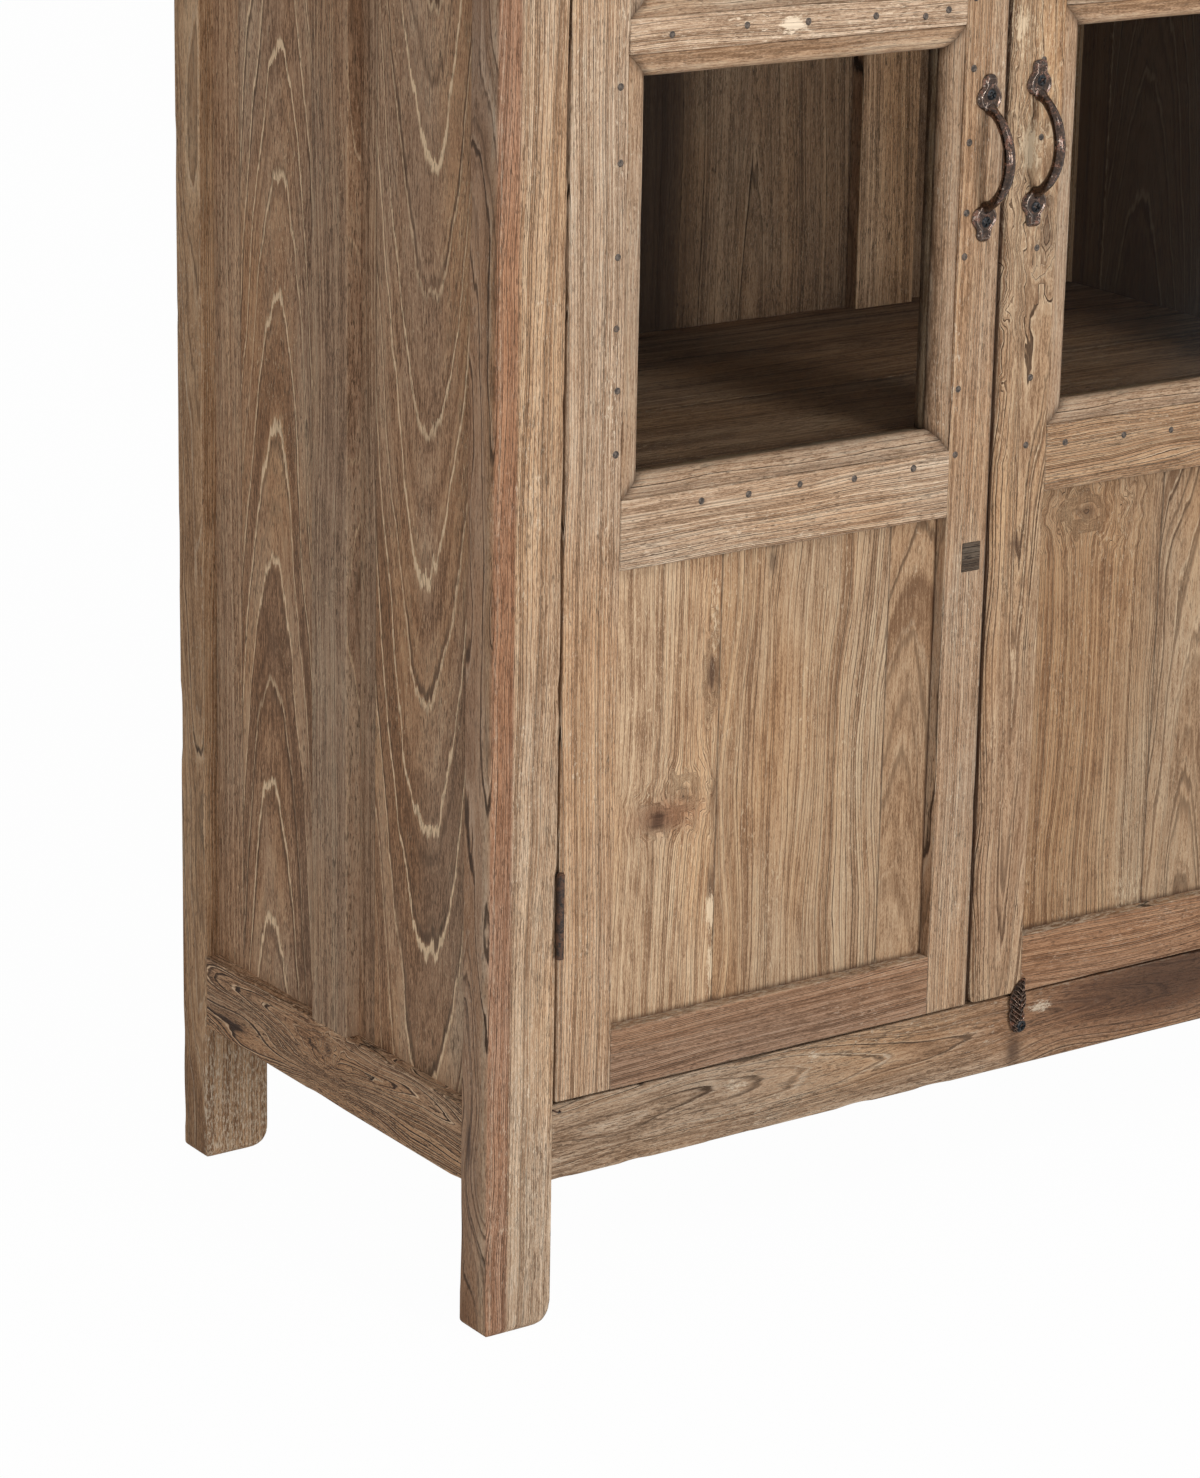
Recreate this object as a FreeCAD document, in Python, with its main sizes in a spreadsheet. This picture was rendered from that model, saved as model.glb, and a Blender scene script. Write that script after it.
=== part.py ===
import FreeCAD, Part
import math
import os

import Sketcher

os.makedirs("parts", exist_ok=True)
doc = FreeCAD.newDocument("WoodenCabinet")
Vector = FreeCAD.Vector
Rotation = FreeCAD.Rotation

# The driving sizes, in millimetres. The cabinet stands on its four legs at height zero,
# its doors face -Y, and the origin lies under the middle of its outline.
SIZES = {
    # Carcass
    "cabinet_width": 900.0,
    "cabinet_depth": 450.0,
    "post_width": 58.0,
    "post_depth": 37.0,
    "leg_height": 116.0,
    "base_rail_height": 60.0,
    "top_rail_height": 71.0,
    "rail_thickness": 26.0,
    "rail_setback": 1.0,
    "post_edge_round": 1.5,
    "foot_round": 13.0,
    "foot_wear": 4.0,
    # Sides
    "side_panel_recess": 13.0,
    "side_panel_thickness": 10.0,
    "side_muntin_width": 50.0,
    "side_muntin_thickness": 24.0,
    # Back
    "back_frame_thickness": 30.0,
    "back_panel_recess": 14.0,
    "back_panel_thickness": 10.0,
    "back_muntin_width": 61.0,
    "back_muntin_offset": 219.0,
    # Joinery
    "tenon_length": 20.0,
    "tenon_thickness": 9.0,
    "tenon_shoulder": 10.0,
    "front_tenon_length": 30.0,
    "bar_tenon_length": 12.0,
    "glue_line": 0.15,
    "groove_depth": 8.0,
    "panel_play": 1.0,
    # Floor, shelves and top
    "board_gap": 1.0,
    "shelf_play": 0.5,
    "floor_drop": 2.0,
    "floor_thickness": 18.0,
    "shelf_thickness": 20.0,
    "shelf_setback": 40.0,
    "shelf_rise": 8.0,
    "cleat_width": 18.0,
    "cleat_height": 20.0,
    "top_board_thickness": 24.0,
    "top_overhang": 12.0,
    "stop_thickness": 12.0,
    "stop_reach": 12.0,
    # Doors
    "door_thickness": 26.0,
    "hinge_gap": 1.6,
    "meeting_gap": 3.0,
    "door_foot_gap": 2.0,
    "door_head_gap": 2.0,
    "hinge_stile_width": 49.0,
    "left_meeting_stile_width": 39.7,
    "right_meeting_stile_width": 52.5,
    "right_rail_rise": 8.0,
    "bottom_rail_height": 47.5,
    "wood_panel_height": 352.5,
    "middle_rail_height": 52.0,
    "pane_opening_height": 319.2,
    "bar_height": 25.0,
    "door_top_rail_height": 65.4,
    "wood_panel_recess": 11.0,
    "wood_panel_thickness": 8.0,
    "meeting_edge_round": 5.0,
    # Glazing
    "bead_width": 16.8,
    "bead_depth": 11.0,
    "bead_setback": 1.0,
    "bead_round": 9.0,
    "glass_thickness": 3.0,
    "glass_play": 1.0,
    "strip_width": 15.0,
    "strip_depth": 10.0,
    "strip_round": 1.0,
    # Hinges
    "hinge_length": 65.0,
    "hinge_leaf_depth": 22.0,
    "hinge_leaf_thickness": 1.4,
    "hinge_leaf_gap": 0.3,
    "barrel_radius": 3.0,
    "barrel_clearance": 0.3,
    "pin_radius": 1.4,
    "pin_play": 0.05,
    "pin_head_radius": 2.2,
    "pin_head_height": 1.2,
    "lowest_hinge_rise": 147.0,
    "middle_hinge_rise": 1000.0,
    "highest_hinge_drop": 147.0,
    "hinge_screw_inset": 12.0,
    "hinge_screw_head_radius": 3.0,
    "hinge_screw_radius": 1.3,
    "hinge_screw_length": 16.0,
    # Handles
    "handle_reach": 31.0,
    "handle_screw_spacing": 95.0,
    "handle_plate_thickness": 3.5,
    "handle_plate_radius": 9.0,
    "handle_lobe_radius": 5.5,
    "handle_tip_offset": 9.5,
    "handle_side_offset": 6.0,
    "bow_radius": 4.0,
    "bow_foot_inset": 10.5,
    "left_handle_setback": 16.5,
    "right_handle_setback": 28.0,
    "left_handle_height": 849.5,
    "right_handle_height": 856.5,
    "handle_screw_head_radius": 4.2,
    "handle_screw_radius": 2.0,
    "handle_screw_length": 20.0,
    "screw_head_height": 1.4,
    "screw_play": 0.1,
    # Leaf latch
    "latch_offset": 53.5,
    "latch_pivot_rise": 34.5,
    "latch_length": 41.0,
    "latch_left_belly": 12.0,
    "latch_right_belly": 7.0,
    "latch_thickness": 2.5,
    "latch_clearance": 0.5,
    "latch_boss_radius": 6.0,
    "latch_pivot_play": 0.05,
    "latch_screw_head_radius": 3.6,
    # Wire staple
    "staple_radius": 3.0,
    "staple_wire_radius": 0.7,
    "staple_drop": 4.0,
    "staple_inset": 3.0,
}
PANE_COUNT = 3
SHELF_COUNT = 3
LATCH_LEAN_DEGREES = 4
BAR_SHOULDER_SHARE = 0.25
HINGE_SCREW_SHARE = 2 / 3
BOW_FOOT_SHARE = 1.4
SAME_PLANE_SHARE = 0.1
SHELF_JOINT_SHARES = (0.4,)
FLOOR_JOINT_SHARES = (0.34, 0.68)
TOP_JOINT_SHARES = (0.36, 0.7)

sheet = doc.addObject("Spreadsheet::Sheet", "Sizes")
for row, (size_name, size_value) in enumerate(SIZES.items(), start=1):
    sheet.set(f"A{row}", size_name)
    sheet.set(f"B{row}", str(size_value))
    sheet.setAlias(f"B{row}", size_name)
doc.recompute()


class Length:
    """A length: its value in millimetres and the sheet formula that gives it."""

    def __init__(self, value, formula):
        self.value = value
        self.formula = formula

    def __add__(self, other):
        other = as_length(other)
        return Length(self.value + other.value, f"({self.formula} + {other.formula})")

    def __sub__(self, other):
        other = as_length(other)
        return Length(self.value - other.value, f"({self.formula} - {other.formula})")

    def __mul__(self, other):
        other = as_length(other)
        return Length(self.value * other.value, f"({self.formula} * {other.formula})")

    def __truediv__(self, other):
        other = as_length(other)
        return Length(self.value / other.value, f"({self.formula} / {other.formula})")

    def __neg__(self):
        return Length(-self.value, f"(0 - {self.formula})")


def as_length(number):
    """A count, a share or zero beside a length in a sum."""
    if isinstance(number, Length):
        return number
    return Length(number, str(number))


class Sizes:
    """The sheet's sizes as attributes."""


size = Sizes()
for size_name, size_value in SIZES.items():
    setattr(size, size_name, Length(size_value, "Sizes." + size_name))
ZERO = as_length(0)

nodes = {}


def grow(span, by):
    """A span made longer at both ends."""
    return (span[0] - by, span[1] + by)


def shrink(span, by):
    """A span made shorter at both ends."""
    return (span[0] + by, span[1] - by)


def upward(low, extent):
    """The span that starts at a plane and runs the given length towards plus."""
    return (low, low + extent)


def downward(high, extent):
    """The span that ends at a plane and runs the given length towards minus."""
    return (high - extent, high)


def around(middle, extent):
    """The span of the given length about a plane."""
    return (middle - extent / 2, middle + extent / 2)


def sided(span, side):
    """A span of X on the left half, or its mirror image on the right half."""
    if side == "left":
        return span
    return (-span[1], -span[0])


def sided_place(x, side):
    """A plane of X on the left half, or its mirror image on the right half."""
    return x if side == "left" else -x


# Bodies and features

corner_of = {}

ADD_BOX = "PartDesign::AdditiveBox"
CUT_BOX = "PartDesign::SubtractiveBox"
ADD_ROD = "PartDesign::AdditiveCylinder"
CUT_ROD = "PartDesign::SubtractiveCylinder"
CUT_CONE = "PartDesign::SubtractiveCone"

TOWARDS_FRONT = Rotation(Vector(1, 0, 0), 90)
TOWARDS_BACK = Rotation(Vector(1, 0, 0), -90)
TOWARDS_RIGHT = Rotation(Vector(0, 1, 0), 90)
TOWARDS_LEFT = Rotation(Vector(0, 1, 0), -90)
UPWARDS = Rotation()


def bind_place(thing, x, y, z):
    """Ties a placement's base to the sheet."""
    thing.setExpression("Placement.Base.x", x.formula)
    thing.setExpression("Placement.Base.y", y.formula)
    thing.setExpression("Placement.Base.z", z.formula)


def empty_body(name, x, y, z, turn=UPWARDS):
    """A body with its own origin at a place of the cabinet."""
    body = doc.addObject("PartDesign::Body", name)
    body.Placement = FreeCAD.Placement(Vector(), turn)
    bind_place(body, x, y, z)
    corner_of[body.Name] = (x, y, z)
    return body


def origin_plane(body, role):
    """One of the body's own origin planes."""
    return next(plane for plane in body.Origin.OriginFeatures if plane.Role == role)


def new_sketch(body, name, role):
    """An empty sketch on one of the body's origin planes."""
    sketch = body.newObject("Sketcher::SketchObject", name)
    sketch.AttachmentSupport = [(origin_plane(body, role), "")]
    sketch.MapMode = "FlatFace"
    return sketch


def tied(sketch, name, constraint, length):
    """A sketch dimension with a name, bound to a length."""
    index = sketch.addConstraint(constraint)
    sketch.renameConstraint(index, name)
    sketch.setExpression("Constraints." + name, length.formula)


def closed_outline(sketch, points):
    """Straight lines through the points and back to the first, joined at their ends."""
    count = len(points)
    for index in range(count):
        sketch.addGeometry(Part.LineSegment(points[index], points[(index + 1) % count]), False)
    for index in range(count):
        sketch.addConstraint(Sketcher.Constraint("Coincident", index, 2, (index + 1) % count, 1))
    sketch.addConstraint(Sketcher.Constraint("Coincident", 0, 1, -1, 1))


def board(name, x, y, z):
    """A squared piece of timber between two planes on each axis."""
    body = empty_body(name, x[0], y[0], z[0])
    wide = x[1] - x[0]
    deep = y[1] - y[0]
    sketch = new_sketch(body, name + "_section", "XY_Plane")
    corners = [
        Vector(0, 0, 0),
        Vector(wide.value, 0, 0),
        Vector(wide.value, deep.value, 0),
        Vector(0, deep.value, 0),
    ]
    closed_outline(sketch, corners)
    sketch.addConstraint(Sketcher.Constraint("Horizontal", 0))
    sketch.addConstraint(Sketcher.Constraint("Vertical", 1))
    sketch.addConstraint(Sketcher.Constraint("Horizontal", 2))
    sketch.addConstraint(Sketcher.Constraint("Vertical", 3))
    tied(sketch, "across", Sketcher.Constraint("DistanceX", 0, 1, 0, 2, wide.value), wide)
    tied(sketch, "through", Sketcher.Constraint("DistanceY", 1, 1, 1, 2, deep.value), deep)
    pad = body.newObject("PartDesign::Pad", name + "_pad")
    pad.Profile = sketch
    pad.setExpression("Length", (z[1] - z[0]).formula)
    sketch.Visibility = False
    return body


def block(body, kind, x, y, z):
    """A box added to a body, or cut from it, between two planes on each axis."""
    feature = body.newObject(kind, body.Name + "_block")
    for extent, span in zip(("Length", "Width", "Height"), (x, y, z)):
        feature.setExpression(extent, (span[1] - span[0]).formula)
    corner = corner_of[body.Name]
    bind_place(feature, x[0] - corner[0], y[0] - corner[1], z[0] - corner[2])
    return feature


def rod(body, kind, x, y, z, turn, radius, length):
    """A cylinder added to a body, or cut from it, from a point in a direction."""
    feature = body.newObject(kind, body.Name + "_rod")
    feature.Placement = FreeCAD.Placement(Vector(), turn)
    corner = corner_of[body.Name]
    bind_place(feature, x - corner[0], y - corner[1], z - corner[2])
    feature.setExpression("Radius", radius.formula)
    feature.setExpression("Height", length.formula)
    return feature


def countersink(body, x, y, z, turn, wide_radius, narrow_radius, depth):
    """A conical seat for a screw head, wide at the point and narrowing inwards."""
    feature = body.newObject(CUT_CONE, body.Name + "_countersink")
    feature.Placement = FreeCAD.Placement(Vector(), turn)
    corner = corner_of[body.Name]
    bind_place(feature, x - corner[0], y - corner[1], z - corner[2])
    feature.setExpression("Radius1", wide_radius.formula)
    feature.setExpression("Radius2", narrow_radius.formula)
    feature.setExpression("Height", depth.formula)
    return feature


def tenon(rail, holder, x, y, z):
    """A tenon on a rail, and its mortise in the holder, larger by the glue line."""
    block(rail, ADD_BOX, x, y, z)
    block(
        holder,
        CUT_BOX,
        grow(x, size.glue_line),
        grow(y, size.glue_line),
        grow(z, size.glue_line),
    )


def round_edges(body, radius, chosen):
    """A fillet along the body's edges whose bounding boxes pass the test."""
    doc.recompute()
    feature = body.Tip
    names = []
    for index, edge in enumerate(feature.Shape.Edges, start=1):
        if chosen(edge.BoundBox):
            names.append(f"Edge{index}")
    fillet = body.newObject("PartDesign::Fillet", body.Name + "_round")
    fillet.Base = (feature, names)
    fillet.setExpression("Radius", radius.formula)


def near(first, second):
    """Whether two values in millimetres are the same plane."""
    return abs(first - second) < size.glue_line.value * SAME_PLANE_SHARE


def wear_post(body, side):
    """Feet worn round, most on the side under the cabinet, and softened long edges."""
    inner_x = size.post_width.value if side == "left" else 0
    outer_x = size.post_width.value - inner_x

    def inner_foot_edge(box):
        return near(box.ZMax, 0) and near(box.XMin, inner_x) and near(box.XMax, inner_x)

    def outer_foot_edge(box):
        return near(box.ZMax, 0) and near(box.XMin, outer_x) and near(box.XMax, outer_x)

    def below_the_top(box):
        return box.ZMin < size.leg_height.value

    round_edges(body, size.foot_round, inner_foot_edge)
    round_edges(body, size.foot_wear, outer_foot_edge)
    round_edges(body, size.post_edge_round, below_the_top)


def round_meeting_edge(stile):
    """The right door's front edge at the meeting gap, worn to a wide round."""

    def meeting_edge(box):
        return near(box.XMax, 0) and near(box.YMax, 0) and box.ZLength > size.leg_height.value

    round_edges(stile, size.meeting_edge_round, meeting_edge)


def group(name, pieces):
    """One node of several like pieces, each a solid of its own."""
    compound = doc.addObject("Part::Compound", name)
    compound.Links = pieces
    nodes[name] = compound


def keep(name, body):
    """A node of one piece."""
    nodes[name] = body


# Planes that the pieces share

half_width = size.cabinet_width / 2
front = (size.handle_reach - size.cabinet_depth) / 2
back = front + size.cabinet_depth
base_rail_z = upward(size.leg_height, size.base_rail_height)
door_foot = base_rail_z[1] + size.door_foot_gap
bottom_rail_z = upward(door_foot, size.bottom_rail_height)
middle_rail_z = upward(bottom_rail_z[1] + size.wood_panel_height, size.middle_rail_height)
panes_height = size.pane_opening_height * PANE_COUNT + size.bar_height * (PANE_COUNT - 1)
door_head = middle_rail_z[1] + panes_height + size.door_top_rail_height
opening_head = door_head + size.door_head_gap
top_rail_z = upward(opening_head, size.top_rail_height)
carcass_head = top_rail_z[1]

left_post_x = upward(-half_width, size.post_width)
front_post_y = upward(front, size.post_depth)
rear_post_y = downward(back, size.post_depth)
front_rail_y = upward(front + size.rail_setback, size.rail_thickness)
back_frame_y = upward(rear_post_y[0], size.back_frame_thickness)
side_rail_x = upward(-half_width + size.rail_setback, size.rail_thickness)
side_panel_x = upward(-half_width + size.side_panel_recess, size.side_panel_thickness)
side_muntin_x = upward(-half_width + size.rail_setback, size.side_muntin_thickness)
side_muntin_y = around((front + back) / 2, size.side_muntin_width)
between_posts_x = (left_post_x[1], -left_post_x[1])
between_posts_y = (front_post_y[1], rear_post_y[0])
back_panel_y = upward(rear_post_y[0] + size.back_panel_recess, size.back_panel_thickness)
panel_z = (base_rail_z[1], top_rail_z[0])
floor_top = base_rail_z[1] - size.floor_drop


def make_posts():
    """Four corner posts, each one length of timber from the floor to the top, with a
    groove for the side panel and, at the back, one for the back panel."""
    posts = {}
    for side in ("left", "right"):
        x = sided(left_post_x, side)
        for place, y in (("front", front_post_y), ("rear", rear_post_y)):
            body = board(f"post_{place}_{side}", x, y, (ZERO, carcass_head))
            wear_post(body, side)
            inner_y = y[1] if place == "front" else y[0]
            block(
                body,
                CUT_BOX,
                sided(side_panel_x, side),
                around(inner_y, size.groove_depth * 2),
                grow(panel_z, size.groove_depth),
            )
            if place == "rear":
                block(
                    body,
                    CUT_BOX,
                    around(sided_place(left_post_x[1], side), size.groove_depth * 2),
                    back_panel_y,
                    grow(panel_z, size.groove_depth),
                )
            posts[place, side] = body
            keep(f"post_{place}_{side}", body)
    return posts


def make_cross_rails(posts):
    """Rails that run from the left posts to the right ones, at the base and the top."""
    rails = {}
    rows = (
        ("front", "base", base_rail_z, front_rail_y, size.front_tenon_length),
        ("front", "top", top_rail_z, front_rail_y, size.front_tenon_length),
        ("rear", "base", base_rail_z, back_frame_y, size.front_tenon_length),
        ("rear", "top", top_rail_z, back_frame_y, size.front_tenon_length),
    )
    for place, level, z, y, reach in rows:
        name = f"rail_{place}_{level}"
        body = board(name, between_posts_x, y, z)
        for side in ("left", "right"):
            tenon(
                body,
                posts[place, side],
                sided(downward(left_post_x[1], reach), side),
                around((y[0] + y[1]) / 2, size.tenon_thickness),
                shrink(z, size.tenon_shoulder),
            )
        rails[place, level] = body
        keep(name, body)
    return rails


def make_side_rails(posts):
    """Rails that run from the front posts to the rear ones, on both sides."""
    rails = {}
    tenon_x = around((side_rail_x[0] + side_rail_x[1]) / 2, size.tenon_thickness)
    for side in ("left", "right"):
        for level, z in (("base", base_rail_z), ("top", top_rail_z)):
            name = f"rail_{side}_{level}"
            body = board(name, sided(side_rail_x, side), between_posts_y, z)
            ends = (
                ("front", downward(between_posts_y[0], size.tenon_length)),
                ("rear", upward(between_posts_y[1], size.tenon_length)),
            )
            for place, y in ends:
                tenon(body, posts[place, side], sided(tenon_x, side), y, shrink(z, size.tenon_shoulder))
            rails[side, level] = body
            keep(name, body)
    return rails


def groove_rails(rails, low_rail, high_rail, x, y):
    """The panel groove along the top of a base rail and the foot of the one above it."""
    block(rails[low_rail], CUT_BOX, x, y, downward(panel_z[0], size.groove_depth))
    block(rails[high_rail], CUT_BOX, x, y, upward(panel_z[1], size.groove_depth))


def make_sides(rails):
    """On each side an upright muntin in the middle and a panel on either side of it."""
    panel_edge_z = grow(panel_z, size.groove_depth - size.panel_play)
    for side in ("left", "right"):
        groove_x = sided(side_panel_x, side)
        groove_rails(rails, (side, "base"), (side, "top"), groove_x, between_posts_y)
        muntin = board(f"muntin_{side}", sided(side_muntin_x, side), side_muntin_y, panel_z)
        tenon_x = sided(around((side_muntin_x[0] + side_muntin_x[1]) / 2, size.tenon_thickness), side)
        tenon_y = shrink(side_muntin_y, size.tenon_shoulder)
        tenon(muntin, rails[side, "base"], tenon_x, tenon_y, downward(panel_z[0], size.tenon_length))
        tenon(muntin, rails[side, "top"], tenon_x, tenon_y, upward(panel_z[1], size.tenon_length))
        for edge_y in side_muntin_y:
            block(muntin, CUT_BOX, groove_x, around(edge_y, size.groove_depth * 2), panel_z)
        keep(f"muntin_{side}", muntin)
        panel_spans = (
            ("front", (between_posts_y[0], side_muntin_y[0])),
            ("rear", (side_muntin_y[1], between_posts_y[1])),
        )
        panels = []
        for place, y in panel_spans:
            edge_y = grow(y, size.groove_depth - size.panel_play)
            panels.append(board(f"panel_{side}_{place}", groove_x, edge_y, panel_edge_z))
        group(f"panels_{side}", panels)


def make_back(rails):
    """Two upright muntins between the back rails, and three panels held in grooves."""
    groove_rails(rails, ("rear", "base"), ("rear", "top"), between_posts_x, back_panel_y)
    left_muntin_x = around(-size.back_muntin_offset, size.back_muntin_width)
    tenon_y = around((back_frame_y[0] + back_frame_y[1]) / 2, size.tenon_thickness)
    edge_reach = size.groove_depth - size.panel_play
    panel_edge_z = grow(panel_z, edge_reach)
    muntins = []
    panels = []
    for side in ("left", "right"):
        x = sided(left_muntin_x, side)
        muntin = board(f"muntin_rear_{side}", x, back_frame_y, panel_z)
        tenon_x = shrink(x, size.tenon_shoulder)
        low_z = downward(panel_z[0], size.tenon_length)
        high_z = upward(panel_z[1], size.tenon_length)
        tenon(muntin, rails["rear", "base"], tenon_x, tenon_y, low_z)
        tenon(muntin, rails["rear", "top"], tenon_x, tenon_y, high_z)
        for edge_x in x:
            block(muntin, CUT_BOX, around(edge_x, size.groove_depth * 2), back_panel_y, panel_z)
        muntins.append(muntin)
        outer_x = sided(grow((left_post_x[1], left_muntin_x[0]), edge_reach), side)
        panels.append(board(f"panel_rear_{side}", outer_x, back_panel_y, panel_edge_z))
    middle_x = grow((left_muntin_x[1], -left_muntin_x[1]), edge_reach)
    panels.append(board("panel_rear_middle", middle_x, back_panel_y, panel_edge_z))
    group("muntins_rear", muntins)
    group("panels_rear", panels)
    return left_muntin_x


def strips_across(span, shares):
    """A span cut at the given shares of it, with a board gap at each cut."""
    cuts = [span[0] + (span[1] - span[0]) * share for share in shares]
    lows = [span[0]] + [cut + size.board_gap / 2 for cut in cuts]
    highs = [cut - size.board_gap / 2 for cut in cuts] + [span[1]]
    return list(zip(lows, highs))


def make_floor():
    """Floor boards behind the front base rail, notched round the front posts."""
    x = shrink((side_rail_x[1], -side_rail_x[1]), size.shelf_play)
    y = shrink((front_rail_y[1], rear_post_y[0]), size.shelf_play)
    z = downward(floor_top, size.floor_thickness)
    boards = []
    for index, strip in enumerate(strips_across(y, FLOOR_JOINT_SHARES)):
        boards.append(board(f"floor_board_{index}", x, strip, z))
    for side in ("left", "right"):
        notch_x = grow(sided(left_post_x, side), size.shelf_play)
        block(boards[0], CUT_BOX, notch_x, grow(front_post_y, size.shelf_play), grow(z, size.shelf_play))
    group("floor_boards", boards)
    return z


def shelf_level(index):
    """The top of a shelf: just above the middle rail, then behind each glazing bar."""
    step = size.pane_opening_height + size.bar_height
    return middle_rail_z[1] + size.shelf_rise + step * index


def make_shelves(rear_muntin_x):
    """Shelves of loose boards that lie on cleats and reach back to the panels."""
    x = shrink((side_muntin_x[1], -side_muntin_x[1]), size.shelf_play)
    y = (front + size.shelf_setback, back_panel_y[0] - size.shelf_play)
    for index in range(SHELF_COUNT):
        z = downward(shelf_level(index), size.shelf_thickness)
        boards = []
        for strip_index, strip in enumerate(strips_across(y, SHELF_JOINT_SHARES)):
            boards.append(board(f"shelf_{index}_board_{strip_index}", x, strip, z))
        for side in ("left", "right"):
            for upright_x in (left_post_x, rear_muntin_x):
                block(
                    boards[-1],
                    CUT_BOX,
                    grow(sided(upright_x, side), size.shelf_play),
                    grow(back_frame_y, size.shelf_play),
                    grow(z, size.shelf_play),
                )
        group(f"shelf_{index + 1}", boards)


def make_cleats(floor_z):
    """Strips fixed to the side rails and muntins, from post to post, under the boards."""
    cleats = []
    for side in ("left", "right"):
        floor_x = sided(upward(side_rail_x[1], size.cleat_width), side)
        floor_cleat_z = downward(floor_z[0], size.cleat_height)
        cleats.append(board(f"floor_cleat_{side}", floor_x, between_posts_y, floor_cleat_z))
        shelf_x = sided(upward(side_muntin_x[1], size.cleat_width), side)
        for index in range(SHELF_COUNT):
            z = downward(shelf_level(index) - size.shelf_thickness, size.cleat_height)
            cleats.append(board(f"shelf_cleat_{side}_{index}", shelf_x, between_posts_y, z))
    group("cleats", cleats)


def make_top():
    """Top boards that lie on the rails and hang over at the front and the sides."""
    x = grow((-half_width, half_width), size.top_overhang)
    y = (front - size.top_overhang, back)
    z = upward(carcass_head, size.top_board_thickness)
    boards = []
    for index, strip in enumerate(strips_across(y, TOP_JOINT_SHARES)):
        boards.append(board(f"top_board_{index}", x, strip, z))
    group("top_boards", boards)


def make_door_stops():
    """A strip behind the top rail and one on the floor, which the doors close against."""
    y = upward(front_rail_y[1], size.stop_thickness)
    x = shrink(between_posts_x, size.shelf_play)
    head_z = (opening_head - size.stop_reach, opening_head + size.stop_reach)
    foot_z = upward(floor_top, size.stop_reach)
    group("door_stops", [board("stop_head", x, y, head_z), board("stop_foot", x, y, foot_z)])


def bead_section(body, name, width, depth, round_radius):
    """A strip's section: a rectangle, or one whose corner at the front and towards the
    glass is worked to a quarter round."""
    sketch = new_sketch(body, name + "_section", "YZ_Plane")
    wide = width.value
    deep = depth.value
    rounding = round_radius.value
    foot = Vector(0, 0, 0)
    rear_foot = Vector(deep, 0, 0)
    rear_head = Vector(deep, wide, 0)
    round_head = Vector(rounding, wide, 0)
    round_front = Vector(0, wide - rounding, 0)
    sketch.addGeometry(Part.LineSegment(foot, rear_foot), False)
    sketch.addGeometry(Part.LineSegment(rear_foot, rear_head), False)
    sketch.addGeometry(Part.LineSegment(rear_head, round_head), False)
    circle = Part.Circle(Vector(rounding, wide - rounding, 0), Vector(0, 0, 1), rounding)
    sketch.addGeometry(Part.ArcOfCircle(circle, math.pi / 2, math.pi), False)
    sketch.addGeometry(Part.LineSegment(round_front, foot), False)
    sketch.addConstraint(Sketcher.Constraint("Coincident", 0, 2, 1, 1))
    sketch.addConstraint(Sketcher.Constraint("Coincident", 1, 2, 2, 1))
    sketch.addConstraint(Sketcher.Constraint("Tangent", 2, 2, 3, 1))
    sketch.addConstraint(Sketcher.Constraint("Tangent", 3, 2, 4, 1))
    sketch.addConstraint(Sketcher.Constraint("Coincident", 4, 2, 0, 1))
    sketch.addConstraint(Sketcher.Constraint("Coincident", 0, 1, -1, 1))
    sketch.addConstraint(Sketcher.Constraint("Horizontal", 0))
    sketch.addConstraint(Sketcher.Constraint("Vertical", 1))
    sketch.addConstraint(Sketcher.Constraint("Horizontal", 2))
    sketch.addConstraint(Sketcher.Constraint("Vertical", 4))
    tied(sketch, "depth", Sketcher.Constraint("DistanceX", 0, 1, 0, 2, deep), depth)
    tied(sketch, "width", Sketcher.Constraint("DistanceY", 1, 1, 1, 2, wide), width)
    tied(sketch, "rounding", Sketcher.Constraint("Radius", 3, rounding), round_radius)
    return sketch


def mitred_bead(name, place, turn, length, width, depth, front_y, round_radius):
    """A strip run to its section along its own X, with its ends then cut to mitres. Its
    long edge lies against the frame."""
    body = empty_body(name, place[0], front_y, place[1], turn)
    corner_of[body.Name] = (ZERO, ZERO, ZERO)
    pad = body.newObject("PartDesign::Pad", name + "_pad")
    pad.Profile = bead_section(body, name, width, depth, round_radius)
    pad.setExpression("Length", length.formula)
    through_y = grow((ZERO, depth), width)
    reach = width * 2
    mitres = ((-45, -width, -width), (45, length - reach, reach))
    for degrees, x, z in mitres:
        cutter = block(body, CUT_BOX, upward(x, reach * 2), through_y, upward(z, reach))
        cutter.Placement = FreeCAD.Placement(Vector(), Rotation(Vector(0, 1, 0), degrees))
        bind_place(cutter, x, through_y[0], z)
    return body


def bead_frame(name, x, z, width, depth, front_y, round_radius):
    """Four mitred strips round the inside of an opening."""
    wide = x[1] - x[0]
    tall = z[1] - z[0]
    turns = (
        ("foot", (x[0], z[0]), 0, wide),
        ("right", (x[1], z[0]), -90, tall),
        ("head", (x[1], z[1]), 180, wide),
        ("left", (x[0], z[1]), 90, tall),
    )
    pieces = []
    for place_name, place, degrees, length in turns:
        turn = Rotation(Vector(0, 1, 0), degrees)
        piece_name = f"{name}_{place_name}"
        pieces.append(
            mitred_bead(piece_name, place, turn, length, width, depth, front_y, round_radius)
        )
    return pieces


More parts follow.
